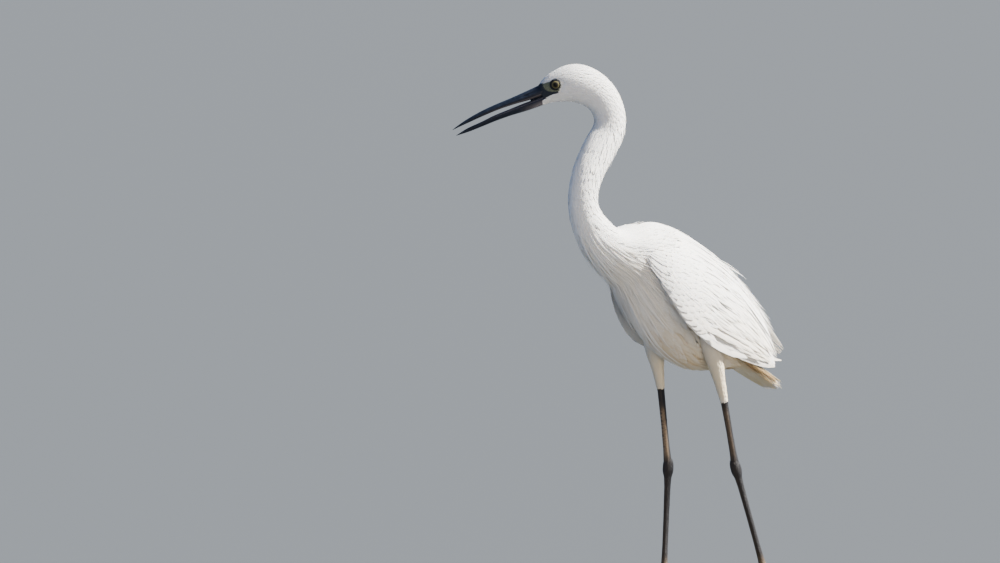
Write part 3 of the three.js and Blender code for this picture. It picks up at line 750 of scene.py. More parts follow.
class Paint:
    """Builds the procedural materials."""

    def __init__(self) -> None:
        """Makes the shared groups."""
        self.grain = self._grain_group()
        self.barbs = self._barb_group()

    @staticmethod
    def _grain_group() -> bpy.types.NodeTree:
        """Noise on a position, as one value from 0 to 1.

        Returns:
            The node group.
        """
        tree = Tree(bpy.data.node_groups.new("Grain", "ShaderNodeTree"))
        tree.sockets("NodeSocketVector", Vector=None)
        tree.sockets("NodeSocketFloat", Scale=80.0, Detail=4.0)
        given, result = tree.ends("Value", "NodeSocketFloat")
        noise = tree.add("ShaderNodeTexNoise", {key: given[key] for key in ("Vector", "Scale", "Detail")})
        reach = tree.add("ShaderNodeMapRange",
                         {"Value": noise.outputs["Fac"], "From Min": 0.3, "From Max": 0.7})
        tree.feed(result, reach.outputs["Result"])
        return tree.tree

    @staticmethod
    def _barb_group() -> bpy.types.NodeTree:
        """A feather's barbs on its own map: fine ribs that slant from the shaft to both edges.

        Returns:
            The node group.
        """
        tree = Tree(bpy.data.node_groups.new("Barbs", "ShaderNodeTree"))
        tree.sockets("NodeSocketVector", Vector=None)
        tree.sockets("NodeSocketFloat", Count=60.0, Slant=0.5)
        given, result = tree.ends("Height", "NodeSocketFloat")
        split = tree.add("ShaderNodeSeparateXYZ", {0: given["Vector"]}).outputs
        off = tree.math("ABSOLUTE", tree.math("SUBTRACT", split["X"], 0.5), 0)
        place = tree.math("SUBTRACT", split["Y"], tree.math("MULTIPLY", off, given["Slant"]))
        turn = tree.math("MULTIPLY", tree.math("MULTIPLY", place, given["Count"]), BARB_TURN)
        tree.feed(result, tree.math("SINE", turn, 0))
        return tree.tree

    @staticmethod
    def _start(finish: Finish) -> tuple[bpy.types.Material, Tree, bpy.types.Node]:
        """A material with its shader's numbers from a finish, its tree and the shader.

        Args:
            finish: Its colours and numbers.

        Returns:
            The material, its tree and the shader.
        """
        material = bpy.data.materials.new(finish.name)
        material.use_nodes = True
        shader = material.node_tree.nodes["Principled BSDF"]
        for key, value in (
                ("Roughness", finish.roughness), ("Specular IOR Level", finish.specular),
                ("Coat Weight", finish.coat), ("Coat Roughness", 0.08),
                ("Sheen Weight", finish.sheen), ("Sheen Roughness", 0.6),
                ("Subsurface Weight", finish.subsurface), ("Subsurface Radius", (0.004, 0.003, 0.002))):
            shader.inputs[key].default_value = value
        return material, Tree(material.node_tree), shader

    def _grain(self, tree: Tree, scale: float, detail: float = 4) -> bpy.types.NodeSocket:
        """Noise of a scale on the object's own coordinates.

        Args:
            tree: The material's tree.
            scale: The noise's scale.
            detail: The noise's detail.

        Returns:
            The noise's value.
        """
        place = tree.add("ShaderNodeTexCoord").outputs["Object"]
        node = tree.add("ShaderNodeGroup", node_tree=self.grain)
        for key, value in (("Scale", scale), ("Detail", detail), ("Vector", place)):
            tree.feed(node.inputs[key], value)
        return node.outputs["Value"]

    @staticmethod
    def _dress(tree: Tree, shader: bpy.types.Node, colour: object, height: object, strength: float,
               distance: float) -> None:
        """Gives a shader its colour, and a bump of a strength and distance from a height.

        Args:
            tree: The material's tree.
            shader: Its shader.
            colour: The base colour.
            height: The bump's height.
            strength: The bump's strength.
            distance: The bump's distance.
        """
        tree.feed(shader.inputs["Base Color"], colour)
        bump = tree.add("ShaderNodeBump", {"Strength": strength, "Distance": distance, "Height": height})
        tree.feed(shader.inputs["Normal"], bump.outputs["Normal"])

    def feather(self, finish: Finish, count: float, bump: float) -> bpy.types.Material:
        """Plumage: white, a little uneven from feather to feather, with barbs in its bump.

        Args:
            finish: Its colours and numbers.
            count: Barbs along a feather.
            bump: How strong the barbs are.

        Returns:
            The material.
        """
        material, tree, shader = self._start(finish)
        uv = tree.add("ShaderNodeUVMap", uv_map="vane").outputs["UV"]
        barbs = tree.add("ShaderNodeGroup", node_tree=self.barbs)
        for key, value in (("Count", count), ("Slant", 0.35), ("Vector", uv)):
            tree.feed(barbs.inputs[key], value)
        shade = tree.mix(tree.attribute("tone"), tuple(c * 0.965 for c in finish.colour), finish.colour)
        # Mixes in the buff second colour, part real stain and part painted warm shade.
        buff_and_shade_colour = tree.mix(tree.attribute("warm"), shade, finish.second)
        self._dress(tree, shader, buff_and_shade_colour, barbs.outputs["Height"], bump, 0.0002)
        return material

    def skin(self, finish: Finish) -> bpy.types.Material:
        """The skin under the coat, with the bare skin of the lores and the line of the gape.

        Args:
            finish: Its colours and numbers.

        Returns:
            The material.
        """
        material, tree, shader = self._start(finish)
        grain = self._grain(tree, 900)
        lore = tree.mix(tree.attribute("lore"), finish.colour, tree.mix(grain, *LORE_COLOURS))
        # Buff where the plumage is buff, part real stain and part painted warm shade.
        warm = tree.mix(tree.attribute("warm"), lore, finish.second)
        line = tree.mix(tree.attribute("gape"), warm, GAPE_COLOUR)
        self._dress(tree, shader, line, grain, 0.35, 0.0003)
        return material

    def horn(self, finish: Finish) -> bpy.types.Material:
        """Dark horn with faint grain, in the second colour where the attribute pale is high.

        Args:
            finish: Its colours and numbers.

        Returns:
            The material.
        """
        material, tree, shader = self._start(finish)
        grain = self._grain(tree, 350, 6)
        dark = tree.mix(grain, finish.colour, tuple(c * 1.9 + 0.004 for c in finish.colour))
        horn = tree.mix(tree.attribute("pale"), dark, finish.second)
        self._dress(tree, shader, horn, grain, 0.25, 0.0002)
        return material

    def scaled(self, finish: Finish) -> bpy.types.Material:
        """Small scales, in the second colour where the attribute pale is high.

        Args:
            finish: Its colours and numbers.

        Returns:
            The material.
        """
        material, tree, shader = self._start(finish)
        place = tree.add("ShaderNodeTexCoord").outputs["Object"]
        cells = tree.add("ShaderNodeTexVoronoi", feature="DISTANCE_TO_EDGE")
        tree.feed(cells.inputs["Scale"], 620)
        tree.feed(cells.inputs["Vector"], place)
        reach = tree.add("ShaderNodeMapRange", {"From Max": 0.16, "Value": cells.outputs["Distance"]})
        edge = reach.outputs["Result"]
        body = tree.mix(tree.attribute("pale"), finish.colour, finish.second)
        scales = tree.mix(edge, tree.mix(0.55, body, SEAM_COLOUR), body)
        self._dress(tree, shader, scales, edge, 0.6, 0.0004)
        return material

    def eye(self, finish: Finish, centre: Array, axis: Array) -> bpy.types.Material:
        """An eyeball: pupil and ringed iris, by the distance from its axis.

        Args:
            finish: Its colours and numbers.
            centre: The eye's middle, in metres.
            axis: The direction in which it looks.

        Returns:
            The material.
        """
        material, tree, shader = self._start(finish)
        place = tree.add("ShaderNodeTexCoord").outputs["Object"]
        minus = tree.add("ShaderNodeVectorMath", {0: place, 1: tuple(centre)}, operation="SUBTRACT")
        crossed = tree.add("ShaderNodeVectorMath", {0: minus.outputs[0], 1: tuple(axis)},
                           operation="CROSS_PRODUCT")
        length = tree.add("ShaderNodeVectorMath", {0: crossed.outputs[0]}, operation="LENGTH")
        iris = tree.mix(self._grain(tree, 2600, 2), finish.colour, finish.second)
        share = tree.math("MULTIPLY", length.outputs["Value"], 1000 / 5)
        ramp = tree.add("ShaderNodeValToRGB", {"Fac": share})
        elements = ramp.color_ramp.elements
        while len(elements) < len(IRIS_RINGS):
            elements.new(0.5)
        for element, (where, value) in zip(elements, IRIS_RINGS):
            element.position = where
            element.color = (value, value, value, 1)
        rings = tree.mix(1, ramp.outputs["Color"], iris, "MULTIPLY")
        tree.feed(shader.inputs["Base Color"], tree.mix(1, rings, PUPIL_COLOUR, "ADD"))
        return material


# Plates on the legs


def plate_group() -> bpy.types.NodeTree:
    """Geometry nodes that set overlapping plates along a line of points.

    Returns:
        The node group.
    """
    tree = Tree(bpy.data.node_groups.new("Leg plates", "GeometryNodeTree"))
    tree.sockets("NodeSocketGeometry", Line=None)
    tree.sockets("NodeSocketFloat", Plate_Length=0.004, Plate_Width=0.003, Plate_Height=0.0006)
    tree.sockets("NodeSocketInt", Count=20, Seed=3)
    tree.sockets("NodeSocketMaterial", Material=None)
    given, result = tree.ends("Plates", "NodeSocketGeometry")
    curve = tree.add("GeometryNodeMeshToCurve", {"Mesh": given["Line"]})
    points = tree.add("GeometryNodeResampleCurve",
                      {"Curve": curve.outputs["Curve"], "Count": given["Count"]})
    plate = tree.add("GeometryNodeMeshIcoSphere", {"Subdivisions": 2, "Radius": 0.5})
    size = tree.add("ShaderNodeCombineXYZ", {"X": given["Plate Length"], "Y": given["Plate Width"],
                                             "Z": given["Plate Height"]})
    shape = tree.add("GeometryNodeTransform", {"Geometry": plate.outputs["Mesh"],
                                               "Scale": size.outputs["Vector"]})
    spread = tree.add("FunctionNodeRandomValue", {2: 0.88, 3: 1.1, "Seed": given["Seed"]})
    facing = tree.add("GeometryNodeInputNamedAttribute", {"Name": "facing"}, data_type="FLOAT_VECTOR")
    tangent = tree.add("GeometryNodeInputTangent")
    turn = tree.add("FunctionNodeAlignRotationToVector", {"Vector": facing.outputs["Attribute"]}, axis="Z")
    lie = tree.add("FunctionNodeAlignRotationToVector",
                   {"Rotation": turn.outputs["Rotation"], "Vector": tangent.outputs["Tangent"]},
                   axis="X", pivot_axis="Z")
    place = tree.add("GeometryNodeInstanceOnPoints", {
        "Points": points.outputs["Curve"], "Instance": shape.outputs["Geometry"],
        "Rotation": lie.outputs["Rotation"], "Scale": spread.outputs[1]})
    real = tree.add("GeometryNodeRealizeInstances", {"Geometry": place.outputs["Instances"]})
    paint = tree.add("GeometryNodeSetMaterial", {"Geometry": real.outputs["Geometry"],
                                                 "Material": given["Material"]})
    tree.feed(result, paint.outputs["Geometry"])
    return tree.tree


def plates(group: bpy.types.NodeTree, name: str, line: Array, facing: Array, count: int,
           size: tuple[float, float, float], material: bpy.types.Material, shift: Array) -> bpy.types.Object:
    """Plates along a line on a leg or toe, as one finished mesh.

    Args:
        group: The geometry nodes that set the plates.
        name: The piece's name.
        line: Points of the line, in millimetres.
        facing: The outward direction at each point.
        count: How many plates.
        size: Length, width and height of a plate, in millimetres.
        material: Their material.
        shift: What is taken from every point, in millimetres.

    Returns:
        The new object, with no modifier left on it.
    """
    mesh = bpy.data.meshes.new(name + "_line")
    mesh.from_pydata([tuple(p) for p in (line - shift) / 1000],
                     [(i, i + 1) for i in range(len(line) - 1)], [])
    layer = mesh.attributes.new("facing", "FLOAT_VECTOR", "POINT")
    layer.data.foreach_set("vector", facing.astype(np.float32).ravel())
    carrier = bpy.data.objects.new(name + "_line", mesh)
    bpy.context.scene.collection.objects.link(carrier)
    modifier = carrier.modifiers.new("Plates", "NODES")
    modifier.node_group = group
    keys = {item.name: item.identifier for item in group.interface.items_tree}
    values = {"Count": count, "Seed": SEED, "Material": material}
    values |= {f"Plate {part}": value / 1000 for part, value in zip(("Length", "Width", "Height"), size)}
    for key, value in values.items():
        modifier[keys[key]] = value
    carrier.update_tag()
    bpy.context.view_layer.update()
    graph = bpy.context.evaluated_depsgraph_get()
    made_mesh = bpy.data.meshes.new_from_object(carrier.evaluated_get(graph), depsgraph=graph)
    bpy.data.objects.remove(carrier)
    made_mesh.polygons.foreach_set("use_smooth", np.ones(len(made_mesh.polygons), dtype=bool))
    pale = made_mesh.attributes.new("pale", "FLOAT", "POINT")
    pale.data.foreach_set("value", np.full(len(made_mesh.vertices), PLATE_PALE, dtype=np.float32))
    made = bpy.data.objects.new(name, made_mesh)
    bpy.context.scene.collection.objects.link(made)
    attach(made, "root")
    return made


# Marks on the face

# Places ahead of and above the eye's middle, in millimetres: the outline of the bare skin of the
# lores, and of its dark part, which is drawn out under the eye along the gape.
LORE = np.array([[16, -0.4], [10, 0.9], [5.2, 2.5], [3.2, 3.7], [-1.5, 4.7], [-4.6, 2.6], [-4.9, -1.5],
                 [-3.0, -5.6], [-2.6, -7], [5.8, -10.2], [10.5, -12.6], [16, -14]], dtype=float)
DARK = np.array([[17, 3.5], [11.6, 1.3], [10.6, -2.6], [8.4, -4.9], [5.6, -6.1], [1.2, -6.3], [-2.4, -6.0],
                 [-2.6, -7.2], [5.8, -10.4], [10.8, -12.8], [17, -15]], dtype=float)


def face_place(points: Array) -> Array:
    """How far ahead of and above the eye's middle points are.

    Args:
        points: Points, in millimetres.

    Returns:
        Rows of ahead and above, in millimetres.
    """
    off = points - eye_centre(Side.LEFT)
    ahead, above = off @ heading(BILL_TURN), off[..., 2]
    ragged = 0.4 * np.sin(2.1 * ahead + 3.3 * above) + 0.3 * np.sin(5.3 * ahead - 2.9 * above)
    return np.stack([ahead + ragged, above - 0.5 * ragged], axis=-1)


def line_distance(place: Array, rows: Array) -> Array:
    """Distance from places to a broken line through rows.

    Args:
        place: Places on the face.
        rows: The rows that are followed.

    Returns:
        The distances.
    """
    best = np.full(place.shape[:-1], 1e9)
    for a, b in zip(rows[:-1], rows[1:]):
        step = b - a
        t = np.clip(((place - a) @ step) / (step @ step), 0, 1)
        best = np.minimum(best, np.linalg.norm(place - (a + t[..., None] * step), axis=-1))
    return best


def inside(place: Array, outline: Array) -> Array:
    """Signed distance of places into an outline: above 0 inside.

    Args:
        place: Places on the face.
        outline: The outline.

    Returns:
        The distances, above 0 inside.
    """
    within = np.zeros(place.shape[:-1], dtype=bool)
    x, y = place[..., 0], place[..., 1]
    for a, b in zip(outline, np.roll(outline, -1, axis=0)):
        crosses = (a[1] > y) != (b[1] > y)
        where = (b[0] - a[0]) * (y - a[1]) / (b[1] - a[1] + 1e-12) + a[0]
        within ^= crosses & (x < where)
    away = line_distance(place, np.vstack([outline, outline[:1]]))
    return np.where(within, away, -away)


# The bird


def pairs(a: Array | float, b: Array | float) -> Array:
    """Rows of a and b."""
    return np.stack(np.broadcast_arrays(a, b), axis=1)


def patch(a: Array | float, b: Array | float) -> Array:
    """Places on the bake map at shares a and b of its breadth and height."""
    return 0.02 + 0.96 * pairs(a, b)


def rows_round(number: int, odd: int) -> Array:
    """Angles of one row of feathers, which is half a step on when odd is 1."""
    return (np.arange(number) + 0.5 * odd) / number * TURN


def coat_depth(u: Array) -> Array:
    """Depth of the coat at a station, in millimetres."""
    return np.interp(u, [0, 1, 5, 8, 13, 16, 17.4, 18], [2, 2.6, 2.6, 1.8, 1.4, 1.1, 0.7, 0.45])


def warmth(points: Array) -> Array:
    """Buff, part real stain and part painted warm shade: most under the tail and belly and at the lower
    breast.

    Args:
        points: Points, in millimetres.

    Returns:
        Shares from 0 to 1.
    """
    y, z = points[..., 1], points[..., 2]
    under = smooth(y, 20, 95) * (1 - smooth(z, 180, 215)) * 0.9
    belly = (1 - smooth(z, 190, 290)) * 0.75 * smooth(z, 150, 175)
    breast = (1 - smooth(y, -95, -60)) * (1 - smooth(z, 290, 330)) * smooth(z, 250, 280) * 0.3
    return np.clip(under + belly + breast, 0, 1)


class Site:
    """What the sub-assemblies share: the frame's offset, the random draws and the materials."""

    def __init__(self) -> None:
        """Reads the frame and makes the shared materials."""
        low, high = (np.array(p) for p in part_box("eye_left"))
        self.shift = eye_centre(Side.LEFT) - (low + high) / 2 * 1000
        self.rng = np.random.default_rng(SEED)
        self.paint = Paint()
        self.plumage = self.paint.feather(PLUMAGE, 34, 0.35)
        self.small = self.paint.feather(PLUMAGE, 9, 0.3)
        self.skin = self.paint.skin(SKIN)

    def put(self, shell: Shell, name: str, material: bpy.types.Material, slot: str, *nodes: str) -> None:
        """Makes a piece.

        Args:
            shell: Its mesh.
            name: Its name.
            material: Its material.
            slot: Not used.
            nodes: The solids that it stands for.
        """
        made = shell.make(name, material, self.shift)
        if nodes:
            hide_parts(*nodes)
        log.info("%s: %d faces", name, len(made.data.polygons))


@dataclass
class Part:
    """A sub-assembly of the bird."""

    site: Site

    def build(self) -> None:
        """Makes and dresses its pieces."""
        raise NotImplementedError


@dataclass
class Flesh(Part):
    """One skin for the trunk, neck, head, thighs and the wings' cores."""

    sides: int = 120
    bare_depth: float = 0.35
    face_above: float = 415
    thigh_depth: float = 1.6
    core: float = 2
    core_rise: tuple = ((0, 0.06, 0.12, 0.2, 0.3, 0.45, 0.6, 0.9),
                        (-6, -2.2, -0.9, -0.9, -2.2, -4.4, -5.4, -5))

    def trunk(self, shell: Shell) -> None:
        """Adds the trunk, neck and head, sunk by the coat's depth, with the marks of the face.

        Args:
            shell: The mesh that is added to.
        """
        us = np.concatenate([np.linspace(0, 8, 70)[:-1], np.linspace(8, 15, 80)[:-1],
                             np.linspace(15, 18, 110)])
        v = np.arange(self.sides) / self.sides * TURN
        depth = coat_depth(us)[:, None] * np.ones((1, self.sides))
        outer = BODY.point(us[:, None], v[None, :], 0.0)
        bare = smooth(inside(face_place(outer), LORE), -1.2, 0.6)
        depth = np.where(us[:, None] > 15, depth * (1 - bare) + self.bare_depth * bare, depth)
        points, quads = loft(BODY, us, self.sides, -depth)
        place = face_place(points)
        near = points[:, 2] > self.face_above
        shell.add(points, quads, lore=smooth(inside(place, LORE), -0.4, 0.4) * near,
                  gape=smooth(inside(place, DARK), -0.5, 0.45) * near, warm=warmth(points))

    def limbs(self, shell: Shell, side: Side, leg: Leg) -> None:
        """Adds the thigh and the core of the wing on one side.

        Args:
            shell: The mesh that is added to.
            side: The side of the bird.
            leg: That side's leg.
        """
        points, quads = loft(Limb([leg.hip, leg.tuft], THIGH_RADII), np.linspace(0, 1, 40), 40,
                             -self.thigh_depth)
        none = np.zeros(len(points))
        shell.add(points, quads, lore=none, gape=none, warm=warmth(points))
        us, vs = np.linspace(0.02, 0.9, 60), np.linspace(0.03, 0.97, 36)
        rise = np.interp(us, *self.core_rise)[:, None] * np.ones((1, len(vs)))
        points, quads = slab(Wing(side), us, vs, rise, rise - self.core)
        none = np.zeros(len(points))
        shell.add(points, quads, lore=none, gape=none, warm=none)

    def build(self) -> None:
        """Makes the skin."""
        shell = Shell()
        self.trunk(shell)
        for side, leg in LEGS.items():
            self.limbs(shell, side, leg)
        self.site.put(shell, "skin", self.site.skin, "plumage", "torso", "neck_base", "neck_middle",
                      "neck_upper", "head", "thigh_left", "thigh_right")


@dataclass
class Coat(Part):
    """Small feathers over the head, neck and trunk, in lengths that grow towards the rump."""

    stations: tuple = (0, 1, 3, 6, 8, 10, 13, 15, 16.5, 17.3, 18)
    lengths: tuple = (17, 24, 27, 22, 15, 12, 10, 8, 6.2, 4.2, 3)
    halves: tuple = (2.2, 3.6, 4.0, 3.2, 2.0, 1.6, 1.4, 1.15, 0.85, 0.6, 0.45)
    first: float = 17.93
    last: float = 0.25
    overlap: float = 0.27
    most_triangles: int = 190000

    def spots(self) -> Array:
        """Rows of station, angle, length and half width, one for each feather.

        Returns:
            The rows.
        """
        rows, u, k = [], self.first, 0
        while u > self.last:
            length, half = (np.interp(u, self.stations, values) for values in (self.lengths, self.halves))
            girth = catmull(STATIONS[:, 3:6], np.array(u / LAST_STATION))
            around = TURN * (girth[0] + girth[1] + 2 * girth[2]) / 4
            number = max(int(around / (half * 1.05)), 16)
            angle = rows_round(number, k % 2)
            rows.append(np.stack(np.broadcast_arrays(u, angle, length, half), axis=1))
            reach = float(BODY.reach(np.array(u), np.array(np.pi / 2)))
            u -= length * self.overlap / max(reach, 4)
            k += 1
        return np.concatenate(rows)

    def kept(self, u: Array, v: Array, root: Array) -> Array:
        """Which feathers stay: none under the wings' roots, on the lores or over the eyes.

        Args:
            u: The first coordinate, or station.
            v: The second coordinate.
            root: Where the feathers root.

        Returns:
            A flag for each feather.
        """
        lore = inside(face_place(root), LORE)
        away = np.minimum(*(np.linalg.norm(root - eye_centre(s), axis=1) for s in Side))
        hidden = (np.cos(v) > 0.35) & (u > 0.4) & (u < 4.5)
        bared = (lore > -0.35) & (u > 15.5)
        return ~hidden & ~bared & (away > EYE_RADIUS * 0.98) & (u < 17.95)

    def build(self) -> None:
        """Makes the coat, in pieces that each stay under the most triangles."""
        rng, spots = self.site.rng, self.spots()
        spots[:, 0] += rng.normal(0, 0.02, len(spots))
        spots[:, 1] += rng.normal(0, 0.35, len(spots)) * spots[:, 3] / 15
        root = BODY.point(spots[:, 0], spots[:, 1])
        keep = self.kept(spots[:, 0], spots[:, 1], root)
        (u, v, length, half), root = spots[keep].T, root[keep]
        count = len(u)
        length = length * rng.uniform(0.85, 1.15, count)
        fall = np.clip(length / np.maximum(BODY.reach(u, v), 4), 0, 1.3)
        fall = np.minimum(fall, u - 0.02)
        drift = rng.normal(0, 0.5, count) * half / 14
        start, end = pairs(u, v), pairs(u - fall, v + drift)
        depth = coat_depth(u)
        ruffled = (u > 10.3) & (u < 13.2) & (np.cos(v) > -0.3) & (rng.uniform(0, 1, count) < 0.1)
        tip = np.where(ruffled, rng.uniform(0.2, 0.7, count), -0.16 * depth * rng.uniform(0, 1, count))
        tone = rng.uniform(0, 1, count)
        warm = warmth(root) * rng.uniform(0.7, 1.2, count)
        base = patch(v % TURN / TURN, u / LAST_STATION)
        pieces = max(1, math.ceil(count * 28 / self.most_triangles))
        for n, part in enumerate(np.array_split(np.argsort(u), pieces)):
            shell = Shell()
            feathers(shell, BODY, start[part], end[part], half[part], -0.8 * depth[part], tip[part],
                     TUFT, base[part], tone[part], warm[part], bend=0.8)
            self.site.put(shell, f"coat_{n + 1}", self.site.small, "plumage")


@dataclass
class Breast(Part):
    """Long lance-shaped plumes that stream from the foot of the neck over the breast."""

    count: int = 420
    spread: float = 88
    lengths: tuple[float, float] = (32, 66)
    loose_share: float = 0.2

    def build(self) -> None:
        """Makes the plumes."""
        rng, count = self.site.rng, self.count
        u = rng.uniform(5.2, 8.0, count)
        v = np.pi + rng.uniform(-1, 1, count) * np.radians(self.spread)
        length = rng.uniform(*self.lengths, count) * (1 - 0.25 * np.abs(v - np.pi) / 1.5)
        fall = length / np.maximum(BODY.reach(u, v), 12)
        end = pairs(u - fall, v + (v - np.pi) * 0.02 + rng.normal(0, 0.05, count))
        loose = np.where(rng.uniform(0, 1, count) < self.loose_share, rng.uniform(1.2, 3.2, count), 0)
        shell = Shell()
        feathers(shell, BODY, pairs(u, v), end, rng.uniform(0.8, 1.7, count), np.full(count, -1.2),
                 rng.uniform(0.3, 1.5, count) + loose, LANCE, patch(v / TURN, u / LAST_STATION),
                 rng.uniform(0.3, 1, count), warmth(BODY.point(u, v)) * 0.8, bend=1.2,
                 sway=rng.normal(0, 1.2, count))
        self.site.put(shell, "breast_plumes", self.site.plumage, "plumage")


@dataclass
class Mantle(Part):
    """Feathers that run from the foot of the neck back over the fronts of the wings."""

    count: int = 900
    spread: float = 112
    lengths: tuple[float, float] = (18, 30)
    lifts: tuple = ((3.6, 4.6, 5.3, 5.9), (7.5, 4.0, 1.6, 0.2))

    def build(self) -> None:
        """Makes the feathers."""
        rng, count = self.site.rng, self.count
        u = rng.uniform(4.9, 7.1, count)
        v = rng.uniform(-1, 1, count) * np.radians(self.spread)
        fall = rng.uniform(*self.lengths, count) / np.maximum(BODY.reach(u, v), 12)
        end = pairs(u - fall, v + rng.normal(0, 0.03, count))
        lift = np.interp(u - fall, *self.lifts) * smooth(np.cos(v), -0.3, 0.3)
        shell = Shell()
        feathers(shell, BODY, pairs(u, v), end, rng.uniform(2.0, 3.4, count), np.full(count, -1.6),
                 lift + rng.uniform(-0.2, 0.4, count), CONTOUR, patch(v % TURN / TURN, u / LAST_STATION),
                 rng.uniform(0, 1, count), np.zeros(count), bend=1.5)
        self.site.put(shell, "mantle_feathers", self.site.plumage, "plumage")


@dataclass
class Thighs(Part):
    """The coat of the feathered part of each leg."""

    first: float = 0.2
    step: float = 0.032
    numbers: tuple[int, int] = (44, 20)
    lengths: tuple[float, float] = (15, 7)
    halves: tuple[float, float] = (1.9, 0.9)

    def build(self) -> None:
        """Makes both coats."""
        rng = self.site.rng
        for side, leg in LEGS.items():
            rows = []
            for k, u in enumerate(np.arange(self.first, 0.97, self.step)):
                number = int(self.between(u, self.numbers))
                rows.append(pairs(u, rows_round(number, k % 2)))
            spots = np.concatenate(rows)
            count = len(spots)
            spots[:, 0] += rng.normal(0, 0.008, count)
            u, v = spots.T
            reach = np.linalg.norm(np.array(leg.tuft) - np.array(leg.hip))
            length = self.between(u, self.lengths) * rng.uniform(0.85, 1.1, count)
            end_u = np.minimum(u + length / reach, 1.0 + 0.02 * rng.uniform(0, 1, count))
            end = pairs(end_u, v + rng.normal(0, 0.06, count))
            limb, shell = Limb([leg.hip, leg.tuft], THIGH_RADII), Shell()
            feathers(shell, limb, spots, end, self.between(u, self.halves), np.full(count, -1.4),
                     -0.3 * rng.uniform(0, 1, count), TUFT, patch(v / TURN, u), rng.uniform(0, 1, count),
                     warmth(limb.point(u, v)), bend=0.8)
            self.site.put(shell, f"thigh_coat_{side.word}", self.site.small, "plumage")

    def between(self, u: Array, values: tuple[float, float]) -> Array:
        """A size at u, which goes from the first value at the thigh's top row to the second."""
        return np.interp(u, [self.first, 1], values)


@dataclass(frozen=True)
class Tier:
    """One tier of wing feathers.

    Attributes:
        count: How many.
        root: Where along the wing they root, at the lower and the upper edge.
        tip: Where they end, at the lower and the upper edge.
        across: Which part of the wing's breadth they cover.
        lift: Height of their roots and tips, in millimetres.
        wide: Half width, as a share of the spacing.
        cut: Their outline.
        tilt: How far the lower edge is raised, in millimetres.
        uneven: How unevenly their tips end.
    """

    count: int
    root: tuple[float, float]
    tip: tuple[float, float]
    across: tuple[float, float]
    lift: tuple[float, float]
    wide: float
    cut: Cut
    tilt: float
    uneven: float = 0.012


def small_tier(k: int) -> Tier:
    """The small covert tier of number k, counted towards the wing's bend.

    Args:
        k: The tier's number.

    Returns:
        The tier.
    """
    u = 0.34 - 0.0425 * k
    lift = (-2.5 if u < 0.1 else 0.5, min(2.6, 1.2 + 8 * (0.42 - u)))
    return Tier(19 + k % 2, (u, u), (u + 0.13, u + 0.12), (0.01, 0.99), lift, 1.0, CONTOUR, 0.1, 0.006)


